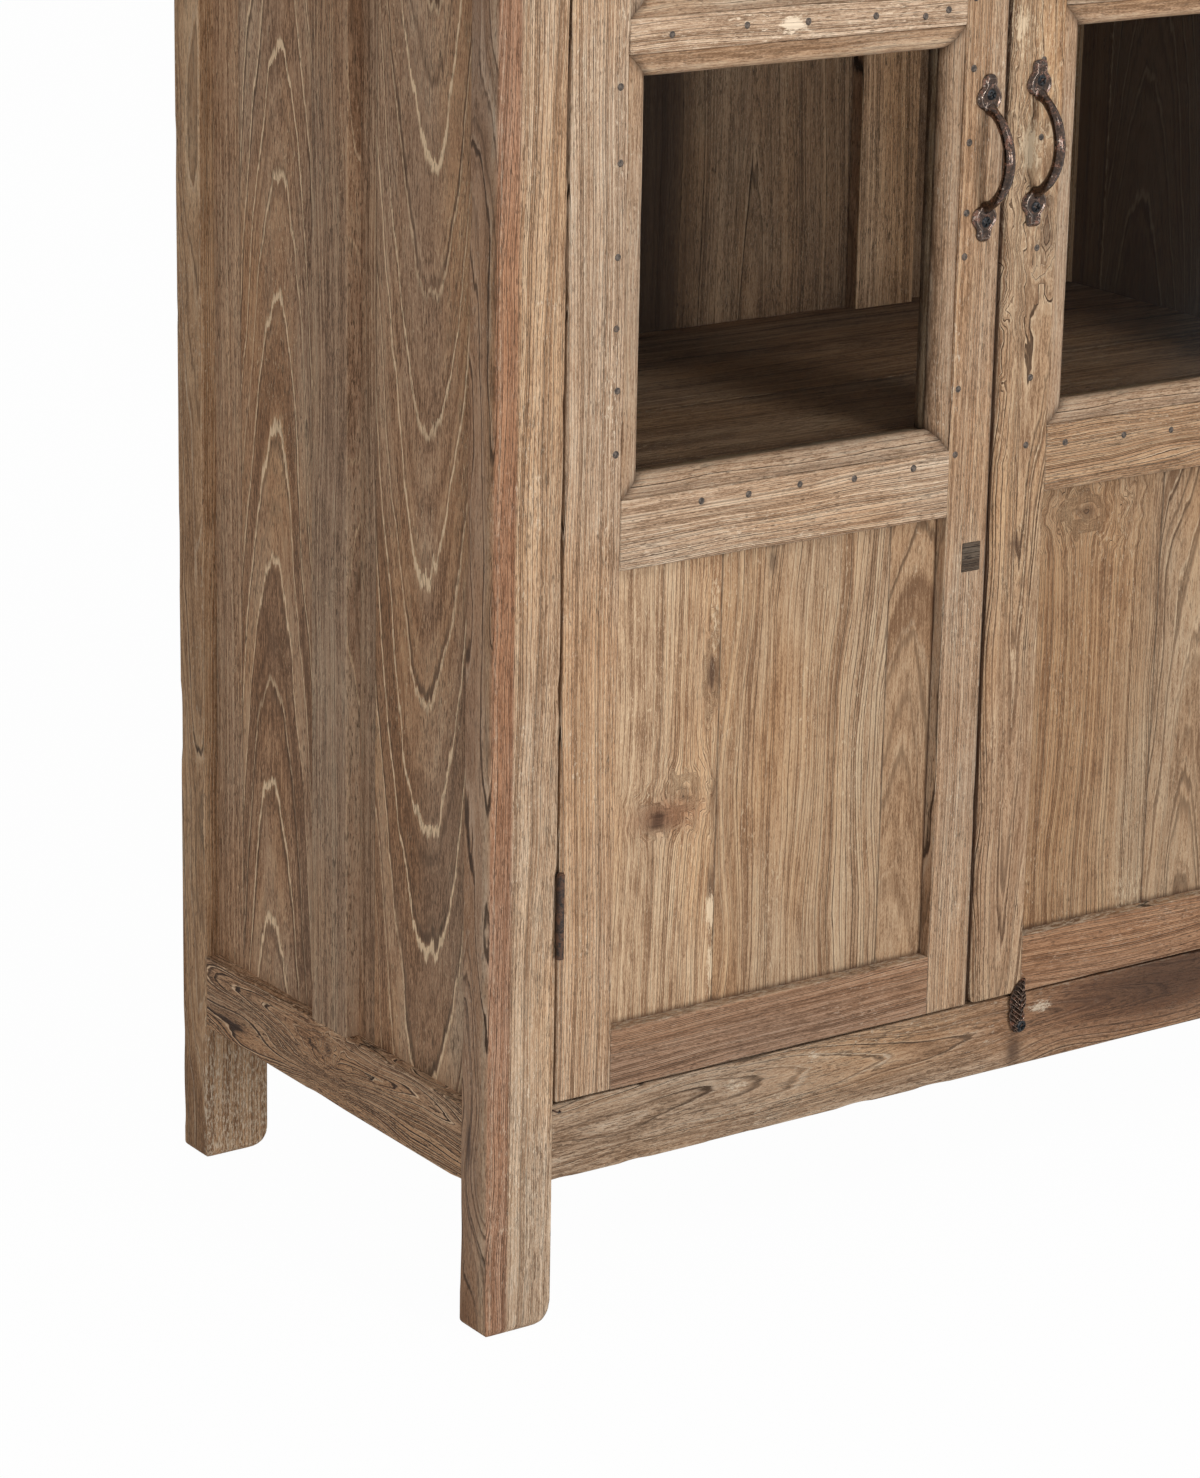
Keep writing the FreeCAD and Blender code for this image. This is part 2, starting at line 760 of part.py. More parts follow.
def make_door(side):
    """One door: a frame of two stiles and rails, a wooden panel at its foot and glass
    panes above, parted by bars and held between front beads and rear strips."""
    meeting_width = size.left_meeting_stile_width
    rise = ZERO
    if side == "right":
        meeting_width = size.right_meeting_stile_width
        rise = size.right_rail_rise
    y = upward(front, size.door_thickness)
    hinge_edge = left_post_x[1] + size.hinge_gap
    meeting_edge = -size.meeting_gap / 2
    hinge_x = sided(upward(hinge_edge, size.hinge_stile_width), side)
    meeting_x = sided(downward(meeting_edge, meeting_width), side)
    inner_x = sided((hinge_edge + size.hinge_stile_width, meeting_edge - meeting_width), side)
    door_z = (door_foot, door_head)

    hinge_stile = board(f"{side}_door_hinge_stile", hinge_x, y, door_z)
    meeting_stile = board(f"{side}_door_meeting_stile", meeting_x, y, door_z)
    if side == "right":
        round_meeting_edge(meeting_stile)
    stiles = [hinge_stile, meeting_stile]
    tenon_y = around((y[0] + y[1]) / 2, size.tenon_thickness)

    middle_z = (middle_rail_z[0] + rise, middle_rail_z[1] + rise)
    openings = []
    bar_spans = []
    level = middle_z[1]
    for index in range(PANE_COUNT):
        opening = upward(level, size.pane_opening_height)
        openings.append(opening)
        level = opening[1] + size.bar_height
        if index < PANE_COUNT - 1:
            bar_spans.append((opening[1], level))
    top_z = (openings[-1][1], door_head)

    def stile_rail(name, z, reach, shoulder):
        """A rail or bar tenoned into both stiles."""
        rail = board(name, inner_x, y, z)
        left_tenon = downward(inner_x[0], reach)
        right_tenon = upward(inner_x[1], reach)
        left_stile, right_stile = stiles if side == "left" else reversed(stiles)
        tenon(rail, left_stile, left_tenon, tenon_y, shrink(z, shoulder))
        tenon(rail, right_stile, right_tenon, tenon_y, shrink(z, shoulder))
        return rail

    shoulder = size.tenon_shoulder
    bottom_rail = stile_rail(f"{side}_door_bottom_rail", bottom_rail_z, size.front_tenon_length, shoulder)
    middle_rail = stile_rail(f"{side}_door_middle_rail", middle_z, size.front_tenon_length, shoulder)
    top_rail = stile_rail(f"{side}_door_top_rail", top_z, size.front_tenon_length, shoulder)
    bars = []
    for index, span in enumerate(bar_spans):
        bar_name = f"{side}_door_bar_{index}"
        bar_shoulder = size.bar_height * BAR_SHOULDER_SHARE
        bars.append(stile_rail(bar_name, span, size.bar_tenon_length, bar_shoulder))
    keep(f"{side}_door_bottom_rail", bottom_rail)
    keep(f"{side}_door_middle_rail", middle_rail)
    keep(f"{side}_door_top_rail", top_rail)
    group(f"{side}_door_bars", bars)

    panel_y = upward(front + size.wood_panel_recess, size.wood_panel_thickness)
    wood_z = (bottom_rail_z[1], middle_z[0])
    groove_z = grow(wood_z, size.groove_depth)
    for edge_x, stile in zip(inner_x, stiles if side == "left" else reversed(stiles)):
        block(stile, CUT_BOX, around(edge_x, size.groove_depth * 2), panel_y, groove_z)
    block(bottom_rail, CUT_BOX, inner_x, panel_y, downward(wood_z[0], size.groove_depth))
    block(middle_rail, CUT_BOX, inner_x, panel_y, upward(wood_z[1], size.groove_depth))
    edge_reach = size.groove_depth - size.panel_play
    panel_name = f"{side}_door_panel"
    keep(panel_name, board(panel_name, grow(inner_x, edge_reach), panel_y, grow(wood_z, edge_reach)))

    bead_y = front + size.bead_setback
    glass_y = upward(bead_y + size.bead_depth, size.glass_thickness)
    front_beads = []
    rear_strips = []
    panes = []
    for index, opening in enumerate(openings):
        bead_name = f"{side}_bead_{index}"
        front_beads += bead_frame(
            bead_name, inner_x, opening, size.bead_width, size.bead_depth, bead_y, size.bead_round
        )
        strip_name = f"{side}_strip_{index}"
        rear_strips += bead_frame(
            strip_name,
            inner_x,
            opening,
            size.strip_width,
            size.strip_depth,
            glass_y[1],
            size.strip_round,
        )
        pane_x = shrink(inner_x, size.glass_play)
        pane_z = shrink(opening, size.glass_play)
        panes.append(board(f"{side}_pane_{index}", pane_x, glass_y, pane_z))
    group(f"{side}_door_beads", front_beads)
    group(f"{side}_door_glass_strips", rear_strips)
    group(f"{side}_door_glass", panes)
    keep(f"{side}_door_hinge_stile", hinge_stile)
    keep(f"{side}_door_meeting_stile", meeting_stile)
    return hinge_stile, meeting_stile


def make_screw(name, x, y, z, turn, head_radius, radius, length):
    """A countersunk wood screw: a conical head that narrows into its shank."""
    head = doc.addObject("Part::Cone", name + "_head")
    head.setExpression("Radius1", head_radius.formula)
    head.setExpression("Radius2", radius.formula)
    head.setExpression("Height", size.screw_head_height.formula)
    shank = doc.addObject("Part::Cylinder", name + "_shank")
    shank.setExpression("Radius", radius.formula)
    shank.setExpression("Height", length.formula)
    for piece in (head, shank):
        piece.Placement = FreeCAD.Placement(Vector(), turn)
        bind_place(piece, x, y, z)
    screw = doc.addObject("Part::MultiFuse", name)
    screw.Shapes = [head, shank]
    screw.Refine = True
    return screw


def knuckle_spans(z):
    """A hinge's length in three knuckles with a small gap between them."""
    gap = size.barrel_clearance
    knuckle = (z[1] - z[0] - gap * 2) / 3
    low = upward(z[0], knuckle)
    middle = upward(low[1] + gap, knuckle)
    high = upward(middle[1] + gap, knuckle)
    return low, middle, high


def make_hinge_leaf(name, axis_x, axis_y, plate_x, z, knuckles, holder, turn, screws, outer_x):
    """One leaf of a butt hinge: a plate let into the wood and knuckles round the pin."""
    body = empty_body(name, axis_x, axis_y, z[0])
    plate_y = (front, front + size.hinge_leaf_depth)
    block(body, ADD_BOX, plate_x, plate_y, z)
    block(holder, CUT_BOX, plate_x, plate_y, z)
    for span in knuckles:
        block(body, ADD_BOX, plate_x, (axis_y, front), span)
        height = span[1] - span[0]
        rod(body, ADD_ROD, axis_x, axis_y, span[0], UPWARDS, size.barrel_radius, height)
    bore = size.pin_radius + size.pin_play
    rod(body, CUT_ROD, axis_x, axis_y, z[0], UPWARDS, bore, z[1] - z[0])
    inner_x = plate_x[1] if near(plate_x[0].value, outer_x.value) else plate_x[0]
    screw_y = front + size.hinge_leaf_depth * HINGE_SCREW_SHARE
    for index, screw_z in enumerate(shrink(z, size.hinge_screw_inset)):
        head_play = size.hinge_screw_head_radius + size.screw_play
        shank_play = size.hinge_screw_radius + size.screw_play
        depth = size.screw_head_height
        rod(body, CUT_ROD, inner_x, screw_y, screw_z, turn, shank_play, size.hinge_leaf_thickness)
        countersink(body, inner_x, screw_y, screw_z, turn, head_play, shank_play, depth)
        hole_length = size.hinge_screw_length + size.screw_play
        rod(holder, CUT_ROD, inner_x, screw_y, screw_z, turn, shank_play, hole_length)
        screw_name = f"{name}_screw_{index}"
        screws.append(
            make_screw(
                screw_name,
                inner_x,
                screw_y,
                screw_z,
                turn,
                size.hinge_screw_head_radius,
                size.hinge_screw_radius,
                size.hinge_screw_length,
            )
        )
    return body


def make_hinge_pin(name, axis_x, axis_y, z):
    """A hinge pin through the knuckles, with a flat head on the highest one."""
    body = empty_body(name, axis_x, axis_y, z[0])
    rod(body, ADD_ROD, axis_x, axis_y, z[0], UPWARDS, size.pin_radius, z[1] - z[0])
    rod(body, ADD_ROD, axis_x, axis_y, z[1], UPWARDS, size.pin_head_radius, size.pin_head_height)
    return body


def make_hinges(side, post, stile):
    """Three butt hinges: fixed leaves on the post, moving leaves on the door's edge."""
    axis_left = left_post_x[1] + size.hinge_gap / 2
    axis_x = sided_place(axis_left, side)
    axis_y = front - size.barrel_radius - size.barrel_clearance
    half_gap = size.hinge_leaf_gap / 2
    fixed_x = sided(downward(axis_left - half_gap, size.hinge_leaf_thickness), side)
    moving_x = sided(upward(axis_left + half_gap, size.hinge_leaf_thickness), side)
    into_post = TOWARDS_LEFT if side == "left" else TOWARDS_RIGHT
    into_door = TOWARDS_RIGHT if side == "left" else TOWARDS_LEFT
    middles = (
        door_foot + size.lowest_hinge_rise,
        door_foot + size.middle_hinge_rise,
        door_head - size.highest_hinge_drop,
    )
    fixed_leaves = []
    moving_leaves = []
    pins = []
    fixed_screws = []
    moving_screws = []
    fixed_outer = sided_place(axis_left - half_gap - size.hinge_leaf_thickness, side)
    moving_outer = sided_place(axis_left + half_gap + size.hinge_leaf_thickness, side)
    for index, middle in enumerate(middles):
        z = around(middle, size.hinge_length)
        low, centre, high = knuckle_spans(z)
        fixed_leaves.append(
            make_hinge_leaf(
                f"{side}_fixed_leaf_{index}",
                axis_x,
                axis_y,
                fixed_x,
                z,
                (low, high),
                post,
                into_post,
                fixed_screws,
                fixed_outer,
            )
        )
        moving_leaves.append(
            make_hinge_leaf(
                f"{side}_moving_leaf_{index}",
                axis_x,
                axis_y,
                moving_x,
                z,
                (centre,),
                stile,
                into_door,
                moving_screws,
                moving_outer,
            )
        )
        pins.append(make_hinge_pin(f"{side}_pin_{index}", axis_x, axis_y, z))
    group(f"{side}_door_hinge_leaves", moving_leaves)
    group(f"{side}_door_hinge_screws", moving_screws)
    return fixed_leaves, fixed_screws, pins


def make_handle(side, stile):
    """A cast bow handle: a lobed plate at each end, held by one screw, and a round bow
    that springs from the plates and stands off the door."""
    setback = size.left_handle_setback
    height = size.left_handle_height
    if side == "right":
        setback = size.right_handle_setback
        height = size.right_handle_height
    x = sided_place(-size.meeting_gap / 2 - setback, side)
    body = empty_body(f"{side}_handle", x, front, height)
    plate = size.handle_plate_thickness

    bow_out = size.handle_reach - size.bow_radius
    half_chord = size.handle_screw_spacing / 2 - size.bow_foot_inset
    sagitta = bow_out - plate / 2
    bow_curve = (half_chord * half_chord + sagitta * sagitta) / (sagitta * 2)
    half_sweep = math.degrees(math.asin(half_chord.value / bow_curve.value))
    arc_plane = Rotation(Vector(0, -1, 0), Vector(0, 0, -1), Vector(1, 0, 0), "ZXY")
    bow = body.newObject("PartDesign::AdditiveTorus", body.Name + "_bow")
    start_turn = Rotation(Vector(0, 0, 1), -half_sweep)
    bow.Placement = FreeCAD.Placement(Vector(), arc_plane.multiply(start_turn))
    bind_place(bow, ZERO, bow_curve - bow_out, ZERO)
    bow.setExpression("Radius1", bow_curve.formula)
    bow.setExpression("Radius2", size.bow_radius.formula)
    bow.setExpression("Angle3", f"2 * asin({half_chord.formula} / {bow_curve.formula})")

    screws = []
    for end in (1, -1):
        screw_z = height + size.handle_screw_spacing / 2 * end
        tip_z = screw_z + size.handle_tip_offset * end
        neck_z = screw_z - size.bow_foot_inset * end
        neck_radius = size.bow_radius * BOW_FOOT_SHARE
        rod(body, ADD_ROD, x, front, neck_z, TOWARDS_FRONT, neck_radius, plate)
        rod(body, ADD_ROD, x, front, screw_z, TOWARDS_FRONT, size.handle_plate_radius, plate)
        rod(body, ADD_ROD, x, front, tip_z, TOWARDS_FRONT, size.handle_lobe_radius, plate)
        for side_offset in (size.handle_side_offset, -size.handle_side_offset):
            rod(
                body,
                ADD_ROD,
                x + side_offset,
                front,
                screw_z + size.handle_lobe_radius / 2 * end,
                TOWARDS_FRONT,
                size.handle_lobe_radius,
                plate,
            )
        face = front - plate
        radius = size.handle_screw_radius + size.screw_play
        head = size.handle_screw_head_radius + size.screw_play
        rod(body, CUT_ROD, x, face, screw_z, TOWARDS_BACK, radius, plate)
        countersink(body, x, face, screw_z, TOWARDS_BACK, head, radius, size.screw_head_height)
        hole_length = size.handle_screw_length + size.screw_play
        rod(stile, CUT_ROD, x, face, screw_z, TOWARDS_BACK, radius, hole_length)
        screws.append(
            make_screw(
                f"{side}_handle_screw_{end + 1}",
                x,
                face,
                screw_z,
                TOWARDS_BACK,
                size.handle_screw_head_radius,
                size.handle_screw_radius,
                size.handle_screw_length,
            )
        )
    keep(f"{side}_handle", body)
    group(f"{side}_handle_screws", screws)


def make_latch(base_rail):
    """A thin cast leaf that turns on one screw in the base rail and lies over the foot
    of the right door. It bulges more to the left, and its tip leans a little to the right."""
    x = size.latch_offset
    z = size.leg_height + size.latch_pivot_rise
    back_y = front - size.latch_clearance
    turn = Rotation(Vector(0, 1, 0), LATCH_LEAN_DEGREES)
    body = empty_body("leaf_latch", x, back_y, z, turn)
    half_length = size.latch_length / 2
    left_bulge = size.latch_left_belly
    right_bulge = size.latch_right_belly
    left_radius = (half_length * half_length + left_bulge * left_bulge) / (left_bulge * 2)
    right_radius = (half_length * half_length + right_bulge * right_bulge) / (right_bulge * 2)
    sketch = new_sketch(body, "leaf_latch_outline", "XZ_Plane")
    foot = Vector(0, 0, 0)
    tip = Vector(0, size.latch_length.value, 0)
    left_belly = Vector(-left_bulge.value, half_length.value, 0)
    right_belly = Vector(right_bulge.value, half_length.value, 0)
    sketch.addGeometry(Part.Arc(foot, right_belly, tip), False)
    sketch.addGeometry(Part.Arc(tip, left_belly, foot), False)
    sketch.addConstraint(Sketcher.Constraint("Coincident", 0, 2, 1, 1))
    sketch.addConstraint(Sketcher.Constraint("Coincident", 1, 2, 0, 1))
    sketch.addConstraint(Sketcher.Constraint("Coincident", 0, 1, -1, 1))
    sketch.addConstraint(Sketcher.Constraint("PointOnObject", 0, 2, -2))
    leaf_height = size.latch_length
    tied(sketch, "leaf", Sketcher.Constraint("DistanceY", 0, 1, 0, 2, leaf_height.value), leaf_height)
    tied(sketch, "right_side", Sketcher.Constraint("Radius", 0, right_radius.value), right_radius)
    tied(sketch, "left_side", Sketcher.Constraint("Radius", 1, left_radius.value), left_radius)
    pad = body.newObject("PartDesign::Pad", "leaf_latch_pad")
    pad.Profile = sketch
    pad.setExpression("Length", size.latch_thickness.formula)
    sketch.Visibility = False
    corner_of[body.Name] = (ZERO, ZERO, ZERO)
    boss_back = size.latch_clearance + size.rail_setback - size.screw_play
    boss_length = boss_back + size.latch_thickness
    hole = size.handle_screw_radius + size.latch_pivot_play
    rod(body, ADD_ROD, ZERO, boss_back, ZERO, TOWARDS_FRONT, size.latch_boss_radius, boss_length)
    rod(body, CUT_ROD, ZERO, boss_back, ZERO, TOWARDS_FRONT, hole, boss_length)
    keep("leaf_latch", body)

    head_y = back_y - size.latch_thickness - size.screw_play
    screw = empty_body("latch_screw", x, head_y, z)
    head_height = size.screw_head_height
    rod(screw, ADD_ROD, x, head_y, z, TOWARDS_FRONT, size.latch_screw_head_radius, head_height)
    rod(screw, ADD_ROD, x, head_y, z, TOWARDS_BACK, size.handle_screw_radius, size.handle_screw_length)
    keep("latch_screw", screw)
    radius = size.handle_screw_radius + size.screw_play
    hole_length = size.handle_screw_length + size.screw_play
    rod(base_rail, CUT_ROD, x, head_y, z, TOWARDS_BACK, radius, hole_length)


def make_staple():
    """A bent wire staple in the base rail, under the left door's outer corner."""
    x = left_post_x[1] + size.staple_inset
    rail_face = front_rail_y[0]
    z = base_rail_z[1] - size.staple_drop
    body = empty_body("wire_staple", x, rail_face, z)
    ring_plane = Rotation(Vector(0, 0, 1), Vector(0, -1, 0), Vector(1, 0, 0), "ZXY")
    ring = body.newObject("PartDesign::AdditiveTorus", "wire_staple_ring")
    ring.Placement = FreeCAD.Placement(Vector(), ring_plane)
    ring.setExpression("Radius1", size.staple_radius.formula)
    ring.setExpression("Radius2", size.staple_wire_radius.formula)
    ring.Angle3 = 180
    keep("wire_staple", body)


posts = make_posts()
cross_rails = make_cross_rails(posts)
side_rails = make_side_rails(posts)
make_sides(side_rails)
rear_muntin_x = make_back(cross_rails)
floor_z = make_floor()
make_shelves(rear_muntin_x)
make_cleats(floor_z)
make_top()
make_door_stops()
post_leaves = []
post_screws = []
hinge_pins = []
for side in ("left", "right"):
    hinge_stile, meeting_stile = make_door(side)
    leaves, screws, pins = make_hinges(side, posts["front", side], hinge_stile)
    post_leaves += leaves
    post_screws += screws
    hinge_pins += pins
    make_handle(side, meeting_stile)
group("post_hinge_leaves", post_leaves)
group("post_hinge_screws", post_screws)
group("hinge_pins", hinge_pins)
make_latch(cross_rails["front", "base"])
make_staple()
doc.recompute()

# Every feature must have rebuilt, and every node must be sound, before anything is kept.
for thing in doc.Objects:
    if "Invalid" in thing.State or "Error" in thing.State:
        raise RuntimeError(f"{thing.Name} failed to rebuild: {thing.State}")
for name, thing in nodes.items():
    shape = thing.Shape
    if shape.isNull() or not shape.isValid() or not shape.Solids:
        raise RuntimeError(f"{name} has no sound shape")
    thing.Label = name
    shape.exportStep(f"parts/{name}.step")
    print(name, len(shape.Solids), round(shape.Volume))
print(len(nodes), "nodes")
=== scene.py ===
import itertools
import math
import random

import bmesh
import bpy
import numpy as np
from mathutils import Matrix, Vector


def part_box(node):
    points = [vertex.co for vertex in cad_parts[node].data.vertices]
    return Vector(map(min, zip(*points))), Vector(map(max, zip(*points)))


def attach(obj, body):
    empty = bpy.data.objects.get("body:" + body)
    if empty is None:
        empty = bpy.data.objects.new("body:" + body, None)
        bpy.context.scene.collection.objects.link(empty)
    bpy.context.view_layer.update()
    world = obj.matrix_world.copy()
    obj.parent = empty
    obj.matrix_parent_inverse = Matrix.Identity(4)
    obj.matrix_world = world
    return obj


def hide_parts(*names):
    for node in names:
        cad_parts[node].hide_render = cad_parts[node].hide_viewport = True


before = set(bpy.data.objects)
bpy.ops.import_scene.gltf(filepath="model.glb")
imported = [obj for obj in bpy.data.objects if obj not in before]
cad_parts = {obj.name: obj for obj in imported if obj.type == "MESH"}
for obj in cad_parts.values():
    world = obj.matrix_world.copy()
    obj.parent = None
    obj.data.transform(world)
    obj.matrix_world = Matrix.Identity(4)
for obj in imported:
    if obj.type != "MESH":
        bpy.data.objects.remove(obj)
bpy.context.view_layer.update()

# The view, the floor and the light.
# The eye stands to the left of the cabinet and a little below its top, with a long lens, and
# sees the lower left part. Soft lamps in front, on the left and above and a pale room light it.

VIEW_PLACE = (-2.179157, -2.816528, 1.444605)
VIEW_YAW = 0.6101411
VIEW_PITCH = 0.3018012
VIEW_ROLL = -0.0187824
VIEW_LENS = 111.956
FLOOR_HALF = 40.0
ROOM_LEVEL = 0.42
KEY_PLACE = (0.9, -4.7, 1.0)
KEY_TARGET = (-0.1, -0.2, 0.75)
KEY_SIZE = (1.3, 1.3)
KEY_POWER = 84.0
UPPER_PLACE = (0.4, -3.4, 3.9)
UPPER_SIZE = (1.1, 1.1)
UPPER_POWER = 47.0
SIDE_PLACE = (-2.3, -4.15, 1.05)
SIDE_SIZE = (0.9, 0.9)
SIDE_POWER = 39.0
FLOOR_SHARE = 0.978


def show(name, data):
    """A new object in the scene."""
    shown = bpy.data.objects.new(name, data)
    bpy.context.scene.collection.objects.link(shown)
    return shown


forward = Vector((
    math.sin(VIEW_YAW) * math.cos(VIEW_PITCH),
    math.cos(VIEW_YAW) * math.cos(VIEW_PITCH),
    -math.sin(VIEW_PITCH),
))
level_right = Vector((math.cos(VIEW_YAW), -math.sin(VIEW_YAW), 0))
level_down = forward.cross(level_right)
view_right = level_right * math.cos(VIEW_ROLL) + level_down * math.sin(VIEW_ROLL)
view_down = level_down * math.cos(VIEW_ROLL) - level_right * math.sin(VIEW_ROLL)
view_turn = Matrix((view_right, -view_down, -forward)).transposed()
view_data = bpy.data.cameras.new("view")
view_data.lens = VIEW_LENS
view_data.clip_end = 200.0
view = show("view", view_data)
view.matrix_world = Matrix.Translation(VIEW_PLACE) @ view_turn.to_4x4()
bpy.context.scene.camera = view
bpy.context.scene.view_settings.view_transform = "Standard"


class Signal:
    """A number or colour inside a node graph. Sums and products on it add Math nodes."""

    def __init__(self, graph, socket):
        self.graph = graph
        self.socket = socket

    def math(self, operation, first, second=0.0):
        """The signal that comes out of one Math node."""
        return self.graph.node("ShaderNodeMath", {"operation": operation}, {0: first, 1: second})


for sign, operation in (("add", "ADD"), ("sub", "SUBTRACT"), ("mul", "MULTIPLY")):
    setattr(Signal, f"__{sign}__", lambda own, other, kind=operation: own.math(kind, own, other))
    setattr(Signal, f"__r{sign}__", lambda own, other, kind=operation: own.math(kind, other, own))


class Graph:
    """A node graph under construction."""

    def __init__(self, tree):
        self.tree = tree
        tree.nodes.clear()

    def node(self, kind, settings=None, values=None, output=0):
        """Adds a node with its settings and inputs, and gives the signal of one output."""
        made = self.tree.nodes.new(kind)
        for key, value in (settings or {}).items():
            if key == "stops":
                while len(made.color_ramp.elements) < len(value):
                    made.color_ramp.elements.new(0.5)
                for element, (position, colour) in zip(made.color_ramp.elements, value):
                    element.position = position
                    element.color = (*colour, 1.0)
            else:
                setattr(made, key, value)
        for key, value in (values or {}).items():
            if isinstance(value, Signal):
                self.tree.links.new(value.socket, made.inputs[key])
            else:
                made.inputs[key].default_value = value
        return Signal(self, made.outputs[output])


class Finish(Graph):
    """A material under construction, with names for the nodes that every finish needs."""

    def __init__(self, name):
        self.material = bpy.data.materials.new(name)
        self.material.use_nodes = True
        super().__init__(self.material.node_tree)

    def noise(self, place, scale, detail=2.0, roughness=0.5):
        """Cloudy random values round a half."""
        values = {"Vector": place, "Scale": scale, "Detail": detail, "Roughness": roughness}
        return self.node("ShaderNodeTexNoise", None, values)

    def stretch(self, place, factors):
        """A place with each of its numbers multiplied, so that a pattern is drawn out."""
        return self.node("ShaderNodeVectorMath", {"operation": "MULTIPLY"}, {0: place, 1: factors})

    def rise(self, signal, low, high):
        """0 below the low value, 1 above the high one, and smooth between them."""
        values = {"Value": signal, "From Min": low, "From Max": high}
        return self.node("ShaderNodeMapRange", {"interpolation_type": "SMOOTHSTEP"}, values)

    def mix(self, factor, first, second, mode="MIX"):
        """Colour from one to the other."""
        settings = {"data_type": "RGBA", "blend_type": mode}
        return self.node("ShaderNodeMix", settings, {0: factor, 6: first, 7: second}, output=2)

    def ramp(self, signal, stops):
        """A colour that follows a signal through the given stops."""
        return self.node("ShaderNodeValToRGB", {"stops": stops}, {0: signal})

    def parts(self, vector):
        """The three numbers of a vector."""
        first = self.node("ShaderNodeSeparateXYZ", None, {0: vector})
        outputs = first.socket.node.outputs
        return [Signal(self, outputs[index]) for index in range(3)]

    def close(self, shader):
        """Ends the graph with its shader and gives the material."""
        output = self.tree.nodes.new("ShaderNodeOutputMaterial")
        self.tree.links.new(shader.socket, output.inputs["Surface"])
        return self.material


def seen_straight(graph):
    """1 for rays from the eye, mirrors and glass, which see the pale room itself."""
    rays = graph.tree.nodes.new("ShaderNodeLightPath")
    names = ("Is Camera Ray", "Is Glossy Ray", "Is Transmission Ray")
    camera, glossy, through = [Signal(graph, rays.outputs[name]) for name in names]
    indirect = graph.node("ShaderNodeMath", {"operation": "MAXIMUM"}, {0: glossy, 1: through})
    return graph.node("ShaderNodeMath", {"operation": "MAXIMUM"}, {0: camera, 1: indirect})


WHITE = (1.0, 1.0, 1.0, 1.0)

room = bpy.data.worlds.new("room")
room.use_nodes = True
bpy.context.scene.world = room
room_graph = Graph(room.node_tree)
room_light = room_graph.node("ShaderNodeBackground", None, {"Color": WHITE, "Strength": ROOM_LEVEL})
room_white = room_graph.node("ShaderNodeBackground", None, {"Color": WHITE, "Strength": 1.0})
room_mix = room_graph.node(
    "ShaderNodeMixShader", None, {0: seen_straight(room_graph), 1: room_light, 2: room_white}
)
room_output = room_graph.tree.nodes.new("ShaderNodeOutputWorld")
room_graph.tree.links.new(room_mix.socket, room_output.inputs["Surface"])

floor_finish = Finish("floor_white")
matt = floor_finish.node("ShaderNodeBsdfDiffuse", None, {"Color": (0.86, 0.86, 0.86, 1.0)})
glow = floor_finish.node("ShaderNodeEmission", None, {"Color": WHITE, "Strength": 1.0})
floor_share = seen_straight(floor_finish) * FLOOR_SHARE
floor_mix = floor_finish.node("ShaderNodeMixShader", None, {0: floor_share, 1: matt, 2: glow})
floor_mesh = bpy.data.meshes.new("floor")
floor_corners = [(-1, -1), (1, -1), (1, 1), (-1, 1)]
floor_points = [(x * FLOOR_HALF, y * FLOOR_HALF, 0) for x, y in floor_corners]
floor_mesh.from_pydata(floor_points, [], [(0, 1, 2, 3)])
floor_mesh.materials.append(floor_finish.close(floor_mix))
floor = show("floor", floor_mesh)


def soft_lamp(name, place, target, size, power):
    """A soft oblong lamp that faces a point."""
    data = bpy.data.lights.new(name, "AREA")
    data.shape = "RECTANGLE"
    data.size, data.size_y = size
    data.energy = power
    lamp = show(name, data)
    lamp.location = place
    lamp.rotation_euler = (Vector(target) - Vector(place)).to_track_quat("-Z", "Y").to_euler()


soft_lamp("key", KEY_PLACE, KEY_TARGET, KEY_SIZE, KEY_POWER)
soft_lamp("upper", UPPER_PLACE, KEY_TARGET, UPPER_SIZE, UPPER_POWER)
soft_lamp("side", SIDE_PLACE, KEY_TARGET, SIDE_SIZE, SIDE_POWER)

# The four corner posts.
# Squared lengths of old sawn timber that run down as legs. They are bare and sun-bleached,
# with soft arrises, and worn round where the feet stand on the floor.

ARRIS = 0.0012
SUPPORT = 0.0006
POST_ARRIS = 0.0022
FOOT_ROUND = 0.022
FOOT_WEAR = 0.009
OUTER_WEAR_SHARE = 0.7
HEART_EDGE = 0.019
FRONT_EASE = 0.017
FRONT_EASE_BACK = 0.0038
WEAR_LINE_STEP = 0.002
WORN_REACH = 0.004
DENT_SIZE = 0.035
DENT_DEPTH = 0.0016
RIPPLE_SIZE = 0.02
RIPPLE_DEPTH = 0.00016
SWAY_SIZE = 0.22
SWAY_REACH = 0.004
FIGURE_SIZE = 0.03
DRIFT_REACH = 0.0022
TWIST_REACH = 0.001
SEAM_REACH = 0.0009
FLOW_SHARE = 0.25
DRAWN_SHARE = 0.22
FIRST_RING = 40
BURR_SIZE = 0.006
KNOT_PUSH = 0.92
KNOT_SPREAD = 0.35
KNOT_EDGE = 1.25
KNOT_BLEND = 0.5
KNOT_RINGS = 4.2
HEART_REACH = 0.55
BARK_PLACE = 1.05
BARK_REACH = 0.18
SCRAMBLE = (374761393, 668265263, 461845907, 974711, 1274126177)


def span(node):
    """The lowest and highest corner of a part of the frame."""
    low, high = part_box(node)
    return np.array(low), np.array(high)


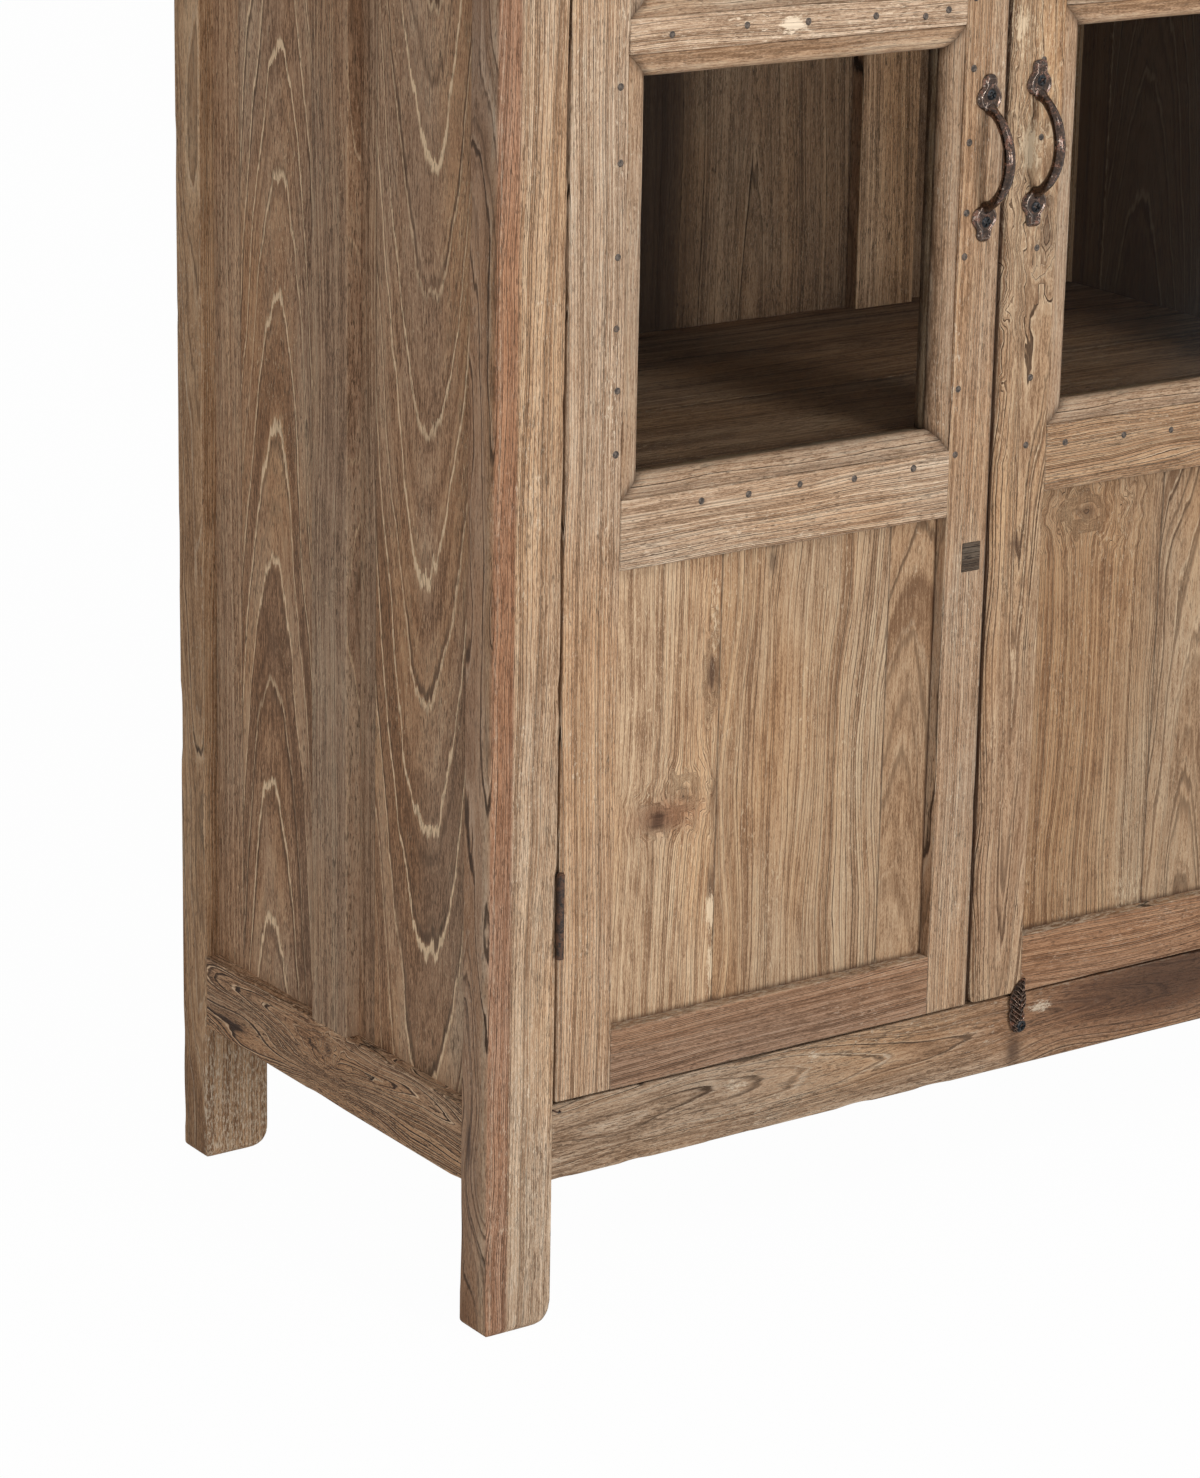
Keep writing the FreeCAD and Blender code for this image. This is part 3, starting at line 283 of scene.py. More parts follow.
def lattice_noise(points, size, seed):
    """Smooth random numbers from -1 to 1 over space, with features of the given size."""
    place = points / size
    cell = np.floor(place).astype(np.int64)
    part = place - cell
    part = part * part * (3 - 2 * part)
    total = np.zeros(len(points))
    for corner in itertools.product((0, 1), repeat=3):
        at = cell + corner
        mixed = sum(at[:, axis] * SCRAMBLE[axis] for axis in range(3)) + seed * SCRAMBLE[3]
        mixed = (mixed ^ (mixed >> 13)) * SCRAMBLE[4]
        value = ((mixed ^ (mixed >> 16)) & 0xFFFF) / 32767.5 - 1
        weight = np.ones(len(points))
        for axis in range(3):
            weight *= part[:, axis] if corner[axis] else 1 - part[:, axis]
        total += value * weight
    return total


def stations(low, high, arris, cell, more):
    """Where the mesh has a line across one axis of a board."""
    bend = arris * (1 - math.tan(math.pi / 8))
    first = low + arris + SUPPORT
    last = high - arris - SUPPORT
    steps = max(1, round((last - first) / cell))
    inner = np.linspace(first, last, steps + 1)
    if more:
        inner = np.concatenate((inner, [value for value in more if first < value < last]))
    ends = [low, low + bend, low + arris, high - arris, high - bend, high]
    return np.unique(np.round(np.concatenate((inner, ends)), 6))


def block_skin(lines):
    """The points and the four-sided faces on the outside of a block with the given lines on
    each of its axes."""
    counts = [len(line) for line in lines]
    corners = ((0, 0), (1, 0), (1, 1), (0, 1))
    keys = []
    for axis in range(3):
        second, third = (axis + 1) % 3, (axis + 2) % 3
        rows, columns = np.meshgrid(
            np.arange(counts[second] - 1), np.arange(counts[third] - 1), indexing="ij"
        )
        for end in (0, 1):
            index = np.zeros((3, 4, rows.size), np.int64)
            for corner, (row_step, column_step) in enumerate(corners if end else corners[::-1]):
                index[second, corner] = rows.ravel() + row_step
                index[third, corner] = columns.ravel() + column_step
                index[axis, corner] = (counts[axis] - 1) * end
            keys.append(np.ravel_multi_index(tuple(index), counts).T)
    unique, quads = np.unique(np.concatenate(keys), return_inverse=True)
    places = np.unravel_index(unique, counts)
    points = np.stack([line[place] for line, place in zip(lines, places)], axis=1)
    return points, quads.reshape(-1, 4)


def rounding(points, first, second):
    """Rounds the edge between two planes of a board. Each plane is given by its axis, its
    place, the direction into the board and the reach of the round along that axis."""
    axis_a, plane_a, sign_a, reach_a = first
    axis_b, plane_b, sign_b, reach_b = second
    gap_a = (points[:, axis_a] - plane_a) * sign_a / reach_a - 1
    gap_b = (points[:, axis_b] - plane_b) * sign_b / reach_b - 1
    inside = (gap_a < 0) & (gap_b < 0)
    length = np.sqrt(gap_a * gap_a + gap_b * gap_b)
    pull = np.where(inside & (length > 1), 1 / np.maximum(length, 1e-9), 1.0)
    round_a = plane_a + sign_a * reach_a * (gap_a * pull + 1)
    round_b = plane_b + sign_b * reach_b * (gap_b * pull + 1)
    points[:, axis_a] = np.where(inside, round_a, points[:, axis_a])
    points[:, axis_b] = np.where(inside, round_b, points[:, axis_b])


def dress(piece, body, slot, *nodes):
    """Ties a piece to the body that it moves with and hides the parts that it stands for."""
    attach(piece, body)
    if nodes:
        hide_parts(*nodes)


class Timber:
    """One or more boards gathered in one mesh. Each point carries where it lies in its log:
    grain (across, deep, along), figure (growth ring, nearness of an arris, tone), stain and painted
    light (dark, red, pale: real stains, and painted shade and painted light where marks put them),
    habit (how strongly ring lines, open grain and hairline cracks show) and warmth (browner or
    greyer than its neighbours)."""

    def __init__(self):
        self.blocks = []
        self.total = 0

    def add(self, points, quads, grain, figure, stain, habit, warm=0.0):
        """Puts one more block of points and faces into the mesh."""
        habits = np.tile(np.array(habit, float), (len(points), 1))
        warmth = np.full(len(points), warm)
        self.blocks.append((points, quads + self.total, grain, figure, stain, habits, warmth))
        self.total += len(points)

    def board(self, low, high, along, seed, cut="straight", cell=(0.005, 0.012), arris=ARRIS,
              tone=1.0, rust=0.0, ring=None, lean=None, pith=None, wild=1.0, knots=(), marks=(),
              shape=None, wear=1.0, more=None, face=None, seam=0.0, habit=(1.0, 1.0, 1.0), warm=0.0):
        """Adds one board between two corners, its fibres along one axis. The cut says how it was
        sawn, and pith and lean where the middle of its log lies. Ring is the width of a year's
        growth and wild how far it wanders. Knots and marks are stains, painted shade and painted
        light in named places. Face names the axes (across, deep), more holds extra mesh lines, and
        shape works the points by hand."""
        chance = random.Random(seed)
        low = np.array(low, float)
        high = np.array(high, float)
        extent = high - low
        arris = min(arris, extent.min() * 0.3)
        across, deep = [axis for axis in range(3) if axis != along]
        if extent[deep] > extent[across]:
            across, deep = deep, across
        if face is not None:
            across, deep = face
        lines = [
            stations(low[axis], high[axis], arris, cell[1] if axis == along else cell[0],
                     (more or {}).get(axis))
            for axis in range(3)
        ]
        raw, quads = block_skin(lines)
        middle = np.clip(raw, low + arris, high - arris)
        offset = raw - middle
        normal = offset / np.linalg.norm(offset, axis=1)[:, None]
        points = middle + normal * arris
        gaps = np.sort(np.minimum(raw - low, high - raw), axis=1)
        edge = np.exp(-gaps[:, 1] / WORN_REACH)

        flow = points.copy()
        flow[:, along] *= FLOW_SHARE
        dents = np.clip(lattice_noise(points + seed, DENT_SIZE, seed) - 0.25, 0, 1)
        points -= normal * (dents * edge * DENT_DEPTH * wear)[:, None]
        points += normal * (lattice_noise(flow, RIPPLE_SIZE, seed + 5) * RIPPLE_DEPTH * wear)[:, None]
        if shape:
            shape(points)

        side = points[:, across] - (low[across] + high[across]) / 2
        depth = points[:, deep] - (low[deep] + high[deep]) / 2
        length = points[:, along] - (low[along] + high[along]) / 2
        if cut == "straight":
            ring_width = ring or chance.uniform(0.0034, 0.005)
            pith_side = chance.choice((-1, 1)) * chance.uniform(0.09, 0.2)
            pith_depth = chance.uniform(-0.04, 0.04)
            lean_side, lean_depth = chance.uniform(-0.02, 0.02), chance.uniform(-0.01, 0.01)
        else:
            ring_width = ring or chance.uniform(0.0045, 0.006)
            pith_side = chance.uniform(-0.2, 0.2) * extent[across]
            pith_depth = chance.uniform(0.024, 0.036)
            lean_side, lean_depth = chance.uniform(-0.01, 0.01), chance.choice((-1, 1)) * 0.03
        if pith:
            pith_side, pith_depth = pith
        if lean:
            lean_side, lean_depth = lean
        sway = lattice_noise(np.stack((length, length * 0, length * 0 + seed), 1), SWAY_SIZE, seed + 7)
        local = np.stack((side, depth, length * DRAWN_SHARE), axis=1)
        drift = lattice_noise(local + seed * 0.37, FIGURE_SIZE, seed + 9)
        twist = lattice_noise(local * 2.2 + seed, FIGURE_SIZE, seed + 10)
        bend = (drift * DRIFT_REACH + twist * TWIST_REACH) * wild
        log_side = side - pith_side - lean_side * length + sway * SWAY_REACH + bend
        log_depth = depth + pith_depth + lean_depth * length
        # Dark, red and pale channels: real stains, and painted shade and painted light where marks ask for
        # them.
        stains_and_painted_light = {
            "dark": seam * np.exp(-gaps[:, 1] / SEAM_REACH),
            "red": np.full(len(points), rust),
            "pale": np.zeros(len(points)),
        }
        knot_share = np.zeros(len(points))
        knot_rings = np.zeros(len(points))
        for place, side_reach, length_reach in knots:
            side_gap = (points[:, across] - place[across]) / side_reach
            length_gap = (points[:, along] - place[along]) / length_reach
            far = np.sqrt(side_gap * side_gap + length_gap * length_gap)
            far = far * (1 + 0.4 * lattice_noise(points, BURR_SIZE, seed + 31))
            push = KNOT_PUSH * np.exp(-far * far * KNOT_SPREAD)
            log_side -= (points[:, across] - place[across]) * push
            share = np.clip((KNOT_EDGE - far) / KNOT_BLEND, 0, 1)
            knot_share = np.maximum(knot_share, share * share * (3 - 2 * share))
            knot_rings = np.where(share > 0, far * KNOT_RINGS, knot_rings)
            heart = 0.75 * np.exp(-((far / HEART_REACH) ** 2))
            bark = 0.25 * np.exp(-((far - BARK_PLACE) / BARK_REACH) ** 2)
            stains_and_painted_light["dark"] += heart + bark
        rings = np.sqrt(log_side * log_side + log_depth * log_depth) / ring_width + FIRST_RING
        rings = rings * (1 - knot_share) + (knot_rings + FIRST_RING) * knot_share
        for kind, place, reach, strength, *crisp in marks:
            away = ((points - np.array(place)) / np.array(reach)) ** 2
            stains_and_painted_light[kind] += strength * np.exp(-away.sum(axis=1) ** (crisp[0] if crisp else 1))
        self.add(
            points,
            quads,
            np.stack((side + seed * 1.37, depth + seed * 0.71, length + seed * 2.3), axis=1),
            np.stack((rings, edge, np.full(len(points), tone)), axis=1),
            np.stack(list(stains_and_painted_light.values()), axis=1),
            habit,
            warm,
        )
        return self

    def mesh(self, name, material):
        """The boards as one object."""
        joined = [np.concatenate(row) for row in zip(*self.blocks)]
        points, quads, grain, figure, stain, habit, warmth = joined
        mesh = bpy.data.meshes.new(name)
        mesh.vertices.add(len(points))
        mesh.vertices.foreach_set("co", points.astype(np.float32).ravel())
        mesh.loops.add(quads.size)
        mesh.loops.foreach_set("vertex_index", quads.astype(np.int32).ravel())
        mesh.polygons.add(len(quads))
        mesh.polygons.foreach_set("loop_start", np.arange(0, quads.size, 4, dtype=np.int32))
        mesh.polygons.foreach_set("use_smooth", np.ones(len(quads), bool))
        mesh.update(calc_edges=True)
        for key, values in (("grain", grain), ("figure", figure), ("stain", stain), ("habit", habit)):
            attribute = mesh.attributes.new(key, "FLOAT_VECTOR", "POINT")
            attribute.data.foreach_set("vector", values.astype(np.float32).ravel())
        shares = mesh.attributes.new("warmth", "FLOAT", "POINT")
        shares.data.foreach_set("value", warmth.astype(np.float32))
        mesh.materials.append(material)
        return show(name, mesh)

    def place(self, name, body, slot, material, *nodes):
        """The boards as one piece that can stand for parts of the frame."""
        dress(self.mesh(name, material), body, slot, *nodes)


def plain(red, green, blue):
    """A colour written in the usual 0 to 255 steps, as light."""
    steps = []
    for value in (red, green, blue):
        share = value / 255
        steps.append(share / 12.92 if share <= 0.04045 else ((share + 0.055) / 1.055) ** 2.4)
    return tuple(steps)


def old_timber(name, deep_tone, tone, bleached, line, depth=1.0, line_share=0.45):
    """Bare old timber: growth rings that the board's own cut bends to stripes or arches, fine
    fibres, open pores, pale scuffs and painted light, hairline splits, grime and painted shade,
    and worn arrises."""
    finish = Finish(name)
    grain, figure, stain, habit = [
        finish.node("ShaderNodeAttribute", {"attribute_name": key}, output="Vector")
        for key in ("grain", "figure", "stain", "habit")
    ]
    warm = finish.node("ShaderNodeAttribute", {"attribute_name": "warmth"}, output="Fac")
    ring, edge, lightness = finish.parts(figure)
    lined, open_grain, cracked = finish.parts(habit)
    dark, red, pale = finish.parts(stain)

    def streaks(squeeze, scale, detail, roughness):
        """Noise drawn out along the grain."""
        return finish.noise(finish.stretch(grain, (1, 1, squeeze)), scale, detail, roughness)

    def deeper(*shares):
        """The colour of the deepest tone, darker still."""
        return (*[value * share for value, share in zip(deep_tone, shares * 3)], 1.0)

    wander = streaks(0.16, 24, 3, 0.5)
    ripple = streaks(0.12, 190, 2, 0.6)
    fibres = streaks(0.06, 620, 3, 0.6)
    hairs = streaks(0.16, 2100, 2, 0.6)
    blotches = streaks(0.3, 70, 5, 0.7)
    cloud = streaks(0.35, 11, 4, 0.6)
    ring = ring + (wander - 0.5) * 0.9 + (ripple - 0.5) * 0.3
    seasons = finish.node("ShaderNodeTexNoise", {"noise_dimensions": "1D"}, {
        "W": ring * 0.45, "Scale": 1.0, "Detail": 6.0, "Roughness": 0.78,
    })

    def ring_line(turns, first, last):
        """A thin line once in each turn, each with its own strength."""
        count = finish.node("ShaderNodeMath", {"operation": "FLOOR"}, {0: turns})
        phase = turns - count
        chance = finish.node("ShaderNodeTexWhiteNoise", {"noise_dimensions": "1D"}, {"W": count})
        line = finish.rise(phase, first, last) * (1 - finish.rise(phase, last + 0.03, 1.0))
        return line, chance, phase

    late, chance, phase = ring_line(ring, 0.84, 0.93)
    thin, thin_chance, _ = ring_line(ring * 1.9, 0.6, 0.86)
    early = finish.rise(phase, 0.0, 0.02) * (1 - finish.rise(phase, 0.04, 0.11)) * (chance * 0.8 + 0.2)
    broken = finish.rise(hairs + (fibres - 0.5) * 0.6, 0.3, 0.62)
    presence = (finish.rise(cloud, 0.3, 0.6) * 0.65 + 0.35) * lined
    dark_lines = late * (chance * 0.7 + 0.3) * 0.9 + thin * thin_chance * thin_chance * 0.9
    dark_lines = dark_lines * presence * (broken * 0.6 + 0.4) * depth

    level = 0.5 + (seasons - 0.5) * 1.45 + (fibres - 0.5) * 1.2 + (hairs - 0.5) * 1.0
    level = level + (cloud - 0.5) * 0.7 + (blotches - 0.5) * 0.5
    colour = finish.ramp(level, [(0.2, deep_tone), (0.5, tone), (0.8, bleached)])
    warmth = streaks(0.25, 7.5, 3, 0.6)
    warmed = finish.mix(1.0, colour, (1.0, 0.9, 0.78, 1.0), "MULTIPLY")
    cooled = finish.mix(1.0, colour, (0.97, 1.02, 1.08, 1.0), "MULTIPLY")
    colour = finish.mix(finish.rise(warmth + warm, 0.35, 0.65), cooled, warmed)
    grooves = finish.rise(fibres + (hairs - 0.5) * 0.5, 0.56, 0.72) * finish.rise(cloud, 0.35, 0.6)
    colour = finish.mix(grooves * lined * open_grain * 0.6, colour, deeper(0.5))
    colour = finish.mix(dark_lines * 1.1, colour, deeper(0.42))
    early_lines = early * finish.rise(cloud, 0.25, 0.5) * lined * (broken * 0.5 + 0.5)
    colour = finish.mix(early_lines * line_share, colour, (*line, 1.0))

    pores = streaks(0.11, 1250, 1, 0.5)
    pore_field = streaks(0.2, 60, 2, 0.5)
    pore_mask = finish.rise(pores, 0.6, 0.66) * finish.rise(pore_field, 0.3, 0.55) * open_grain
    colour = finish.mix(pore_mask * 0.75, colour, deeper(0.4))
    scuffs = streaks(0.3, 520, 4, 0.75)
    scuff_field = streaks(0.4, 24, 2, 0.5)
    scuff_mask = finish.rise(scuffs, 0.57, 0.66) * finish.rise(scuff_field, 0.42, 0.66)
    colour = finish.mix(scuff_mask * 0.6, colour, (*line, 1.0))
    crack_field = streaks(0.12, 22, 3, 0.6)
    crack = finish.rise(phase, 0.86, 0.93) * (1 - finish.rise(phase, 0.97, 1.0))
    crack_mask = crack * finish.rise(chance, 0.6, 0.66) * finish.rise(crack_field, 0.44, 0.52) * cracked
    colour = finish.mix(crack_mask * 0.8, colour, deeper(0.25))

    red_share = finish.rise(red + (fibres - 0.5) * 0.25, 0.03, 0.97)
    reddened = finish.mix(1.0, colour, (0.72, 0.57, 0.52, 1.0), "MULTIPLY")
    colour = finish.mix(red_share, colour, reddened)
    # The dark channel darkens for real stains and for painted shade; the pale channel lightens for scuffs and
    # for painted light.
    dark_stain_and_shade_mask = finish.rise(dark + (scuffs - 0.5) * 0.5, 0.1, 1.0)
    colour = finish.mix(dark_stain_and_shade_mask * 0.85, colour, deeper(0.26, 0.2, 0.17))
    pale_scuff_and_light_mask = finish.rise(scuffs + pale * 0.2, 0.6, 0.78) * finish.rise(pale, 0.05, 0.5)
    colour = finish.mix(pale_scuff_and_light_mask * 0.8, colour, (*line, 1.0))
    worn = finish.rise(edge * 0.75 + (scuffs - 0.5) * 1.3, 0.5, 1.05)
    colour = finish.mix(worn * 0.35, colour, (*line, 1.0))
    toned = finish.node("ShaderNodeVectorMath", {"operation": "SCALE"}, {0: colour, 3: lightness})

    height = fibres * 0.3 + hairs * 0.6 - dark_lines * 0.8 - pore_mask * 0.6 - grooves * 0.7
    height = height - crack_mask * 1.4 + scuff_mask * 0.15
    bump = finish.node("ShaderNodeBump", None, {"Strength": 0.8, "Distance": 0.0009, "Height": height})
    roughness = 0.78 + (fibres - 0.5) * 0.25 - dark_stain_and_shade_mask * 0.15
    shader = finish.node("ShaderNodeBsdfPrincipled", None, {
        "Base Color": toned, "Roughness": roughness, "Normal": bump, "Specular IOR Level": 0.25,
    })
    return finish.close(shader)


DEEP_TAN = plain(126, 97, 72)
TAN = plain(178, 147, 118)
BLEACHED_TAN = plain(208, 182, 154)
PALE_LINE = plain(222, 203, 178)
frame_wood = old_timber("frame_wood", DEEP_TAN, TAN, BLEACHED_TAN, PALE_LINE)
side_wood = old_timber(
    "side_wood", plain(112, 83, 61), plain(168, 132, 103), plain(196, 164, 133),
    plain(226, 196, 160), depth=0.45, line_share=1.7,
)
rail_wood = old_timber(
    "rail_wood", plain(92, 66, 48), plain(164, 130, 101), plain(192, 160, 130),
    plain(206, 176, 144), depth=1.3, line_share=1.3,
)
door_wood = old_timber("door_wood", DEEP_TAN, plain(180, 148, 119), BLEACHED_TAN, PALE_LINE)
panel_wood = old_timber(
    "panel_wood", plain(128, 94, 66), plain(181, 146, 112), plain(206, 175, 140), plain(222, 198, 166),
)
inner_wood = old_timber(
    "inner_wood", plain(84, 63, 47), plain(128, 100, 78), plain(158, 129, 103),
    plain(170, 146, 120), depth=0.8,
)


def worn_foot(low, high, side, shape_more=None):
    """A post's foot: well rounded on the side under the cabinet, a little on the other."""
    inward = 1 if side == "left" else -1
    outer_x = low[0] if side == "left" else high[0]
    inner_x = high[0] if side == "left" else low[0]

    def shape(points):
        rounding(points, (0, inner_x, -inward, FOOT_ROUND), (2, low[2], 1, FOOT_ROUND))
        rounding(points, (0, outer_x, inward, FOOT_WEAR), (2, low[2], 1, FOOT_WEAR * OUTER_WEAR_SHARE))
        for plane, sign in ((low[1], 1), (high[1], -1)):
            rounding(points, (1, plane, sign, FOOT_WEAR), (2, low[2], 1, FOOT_WEAR))
        if shape_more:
            shape_more(points)

    return shape


post_looks = {
    "front": dict(wild=2.2, warm=0.0, habit=(1.2, 0.8, 0.8), tone=1.05, rust=0.0),
    "rear": dict(wild=1.2, warm=0.3, habit=(1.2, 0.8, 0.3), tone=1.02, rust=0.12),
}
foot_lines = [WEAR_LINE_STEP * step for step in range(1, 15)]
for place, side in itertools.product(("front", "rear"), ("left", "right")):
    node = f"post_{place}_{side}"
    low, high = span(node)
    outer_x = low[0] if side == "left" else high[0]
    inward = 1 if side == "left" else -1
    edge_lines = [outer_x + inward * WEAR_LINE_STEP * step for step in range(1, 9)]
    face_x = (low[0] + high[0]) / 2
    ease_front = None
    if place == "front":
        strip_x = outer_x + inward * HEART_EDGE * 0.45

        def ease_front(points, outer_x=outer_x, inward=inward, front_y=low[1]):
            rounding(points, (0, outer_x, inward, FRONT_EASE), (1, front_y, 1, FRONT_EASE_BACK))

        marks = [
            ("red", (strip_x, low[1], 1.0), (HEART_EDGE * 0.56, 0.005, 4.0), 1.0, 6),
            ("red", (outer_x, low[1] + 0.03, 1.0), (0.003, 0.024, 4.0), 0.55, 4),
            ("pale", (face_x, low[1], 0.16), (0.03, 0.006, 0.2), 0.4),
            ("dark", (outer_x, low[1] + 0.03, 0.08), (0.003, 0.03, 0.1), 0.3),
            ("dark", (outer_x, low[1] + 0.026, 0.15), (0.004, 0.003, 0.02), 1.0),
        ]
    else:
        marks = [("pale", (face_x, low[1], 0.04), (0.2, 0.004, 0.1), 0.75, 2)]
    timber = Timber().board(
        low, high, 2, seed=11 + 3 * len(node) + (5 if side == "left" else 8),
        cell=(0.0045, 0.011), arris=POST_ARRIS, ring=0.003, wear=2.0, marks=marks,
        shape=worn_foot(low, high, side, ease_front), more={0: edge_lines, 2: foot_lines},
        face=(0, 1), **post_looks[place],
    )
    timber.place(node + "_timber", "cabinet", "frame_wood", frame_wood, node)

# The rails that tie the posts together.
# Boards on edge, tenoned into the posts at the base and under the top. The front and side
# base rails show wide arched and swirling figure.

JOINT_LAP = 0.0004
MARK_DEPTH = 0.02
BASE_RAIL_FACE_Y = span("rail_front_base")[0][1]
left_x = span("post_front_left")[1][0]
right_x = span("post_front_right")[0][0]
front_y = span("post_front_left")[1][1]
rear_y = span("post_rear_left")[0][1]


def on_face(face_y, *spots):
    """Marks on a front face, each by its kind, place (x, z), reach (sideways, up) and strength."""
    return [
        (kind, (x, face_y, z), (wide, MARK_DEPTH, tall), strength)
        for kind, (x, z), (wide, tall), strength in spots
    ]


rail_looks = {
    "rail_front_base": dict(
        cut="flat", ring=0.0046, lean=(0.0, 0.05), pith=(0.006, 0.03), tone=0.8, rust=0.16, wild=4.0,
        habit=(1.4, 0.8, 0.5), marks=on_face(
            BASE_RAIL_FACE_Y,
            ("red", (0.2, 0.155), (0.16, 0.04), 0.9),
            # Painted shadow under the leaf latch, a dark smear on the rail below its screw.
            ("dark", (0.05, 0.128), (0.008, 0.014), 0.8),
            ("pale", (-0.225, 0.156), (0.012, 0.006), 1.0),
            ("pale", (-0.15, 0.166), (0.008, 0.004), 1.0),
            ("dark", (0.22, 0.16), (0.15, 0.04), 1.0),
            ("pale", (0.076, 0.161), (0.013, 0.005), 1.2),
        )),
    "rail_front_top": dict(cut="straight", tone=0.95),
    "rail_rear_base": dict(cut="flat", tone=0.9),
    "rail_rear_top": dict(cut="straight", tone=0.9),
}
for index, (node, look) in enumerate(rail_looks.items()):
    low, high = span(node)
    low[0], high[0] = left_x - JOINT_LAP, right_x + JOINT_LAP
    timber = Timber().board(low, high, 0, seed=301 + index * 7, cell=(0.0045, 0.006), face=(2, 1),
                            wear=2.5, **look)
    timber.place(node + "_timber", "cabinet", "frame_wood", frame_wood, node)

for side, level in itertools.product(("left", "right"), ("base", "top")):
    node = f"rail_{side}_{level}"
    low, high = span(node)
    low[1], high[1] = front_y - JOINT_LAP, rear_y + JOINT_LAP
    look = dict(cut="straight", tone=0.9)
    if level == "base":
        outer_x = low[0] if side == "left" else high[0]
        look = dict(
            cut="flat", ring=0.0036, lean=(0.02, 0.08), pith=(0.012, 0.016), tone=1.3, wild=4.5,
            habit=(2.6, 1.0, 0.5), knots=[((low[0], 0.016, 0.158), 0.011, 0.016)],
            marks=[
                ("dark", (low[0], 0.17, 0.137), (0.02, 0.05, 0.014), 0.5),
                ("pale", (outer_x, 0.0, high[2]), (0.018, 9.0, 0.0014), 0.6, 3),
            ],
        )
    timber = Timber().board(
        low, high, 1, seed=341 + len(node) + (2 if side == "left" else 9), cell=(0.004, 0.005),
        face=(2, 0), wear=2.0, **look,
    )
    timber.place(node + "_timber", "cabinet", "frame_wood", rail_wood, node)

# The sides: an upright in the middle and a recessed panel on either side of it.
# Each panel is glued up from a narrow and a wide board. The wide ones are flat sawn, so their
# rings stand in tall arches.

PANEL_ARRIS = 0.0006


def glued_panel(timber, low, high, along, across, shares, looks, seed):
    """A panel of boards glued edge to edge."""
    edges = [0.0, *shares, 1.0]
    width = high[across] - low[across]
    for index, look in enumerate(looks):
        part_low, part_high = low.copy(), high.copy()
        part_low[across] = low[across] + width * edges[index]
        part_high[across] = low[across] + width * edges[index + 1]
        timber.board(part_low, part_high, along, seed=seed + index * 13, arris=PANEL_ARRIS,
                     wear=0.4, seam=0.9, **look)


def painted_inner_shade(side):
    """Painted shade on the inside face of a side piece, stronger on the right side."""
    low, high = span(f"panels_{side}")
    inner_x = high[0] if side == "left" else low[0]
    return ("dark", (inner_x, 0.0, 1.0), (0.004, 9.0, 9.0), 0.6 if side == "left" else 1.0)


def solids_of(node):
    """The lowest and highest corners of each separate solid of a part of the frame."""
    gathered = bmesh.new()
    gathered.from_mesh(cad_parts[node].data)
    bmesh.ops.remove_doubles(gathered, verts=gathered.verts, dist=1e-6)
    unseen = set(gathered.verts)
    boxes = []
    while unseen:
        group = []
        stack = [next(iter(unseen))]
        unseen.discard(stack[0])
        while stack:
            vertex = stack.pop()
            group.append(vertex.co.copy())
            for edge in vertex.link_edges:
                other = edge.other_vert(vertex)
                if other in unseen:
                    unseen.discard(other)
                    stack.append(other)
        corners = np.array(group)
        boxes.append((corners.min(axis=0), corners.max(axis=0)))
    gathered.free()
    return sorted(boxes, key=lambda box: tuple(np.round(box[0], 5)))


side_panel_plan = [
    (0.84, dict(lean=(0.004, -0.034), pith=(0.004, 0.22)), 1.02),
    (0.74, dict(lean=(-0.004, 0.036), pith=(0.012, 0.16)), 1.16),
]
for side in ("left", "right"):
    shaded_inside = dict(face=(1, 0), marks=[painted_inner_shade(side)])
    node = f"muntin_{side}"
    low, high = span(node)
    low[2] = span(f"rail_{side}_base")[1][2] - JOINT_LAP
    high[2] = span(f"rail_{side}_top")[0][2] + JOINT_LAP
    timber = Timber().board(low, high, 2, seed=401 + len(side), cell=(0.004, 0.012), tone=1.0, **shaded_inside)
    timber.place(node + "_timber", "cabinet", "frame_wood", side_wood, node)

    timber = Timber()
    for index, (low, high) in enumerate(solids_of(f"panels_{side}")):
        wide_share, figure, narrow_tone = side_panel_plan[index]
        wide = dict(cut="flat", ring=0.0035, cell=(0.0035, 0.009), tone=1.12, wild=1.8,
                    habit=(1.5, 0.9, 0.6), **figure, **shaded_inside)
        narrow = dict(cut="straight", cell=(0.005, 0.014), tone=narrow_tone, **shaded_inside)
        glued_panel(timber, low, high, 2, 1, (wide_share,), [wide, narrow], 431 + index * 29 + len(side))
    timber.place(f"panels_{side}_timber", "cabinet", "frame_wood", side_wood, f"panels_{side}")

# The back.
# Two uprights and three recessed panels between the posts, of darker and plainer boards than
# the outside.


def lay_boards(node, along, seed, slot, finish, fit=None, **look):
    """Every solid of a part of the frame as a board of its own, all with the same look."""
    timber = Timber()
    for index, (low, high) in enumerate(solids_of(node)):
        if fit:
            fit(index, low, high)
        timber.board(low, high, along, seed=seed + index, **look)
    timber.place(node + "_timber", "cabinet", slot, finish, node)


def between_rails(index, low, high):
    """An upright of the back ends at the rails."""
    low[2] = span("rail_rear_base")[1][2] - JOINT_LAP
    high[2] = span("rail_rear_top")[0][2] + JOINT_LAP


# The uprights of the back are made over twice as light as the back panels, as painted light.
lay_boards("muntins_rear", 2, 503, "dark_wood", inner_wood, between_rails, cell=(0.006, 0.016),
           face=(0, 1), tone=2.25)

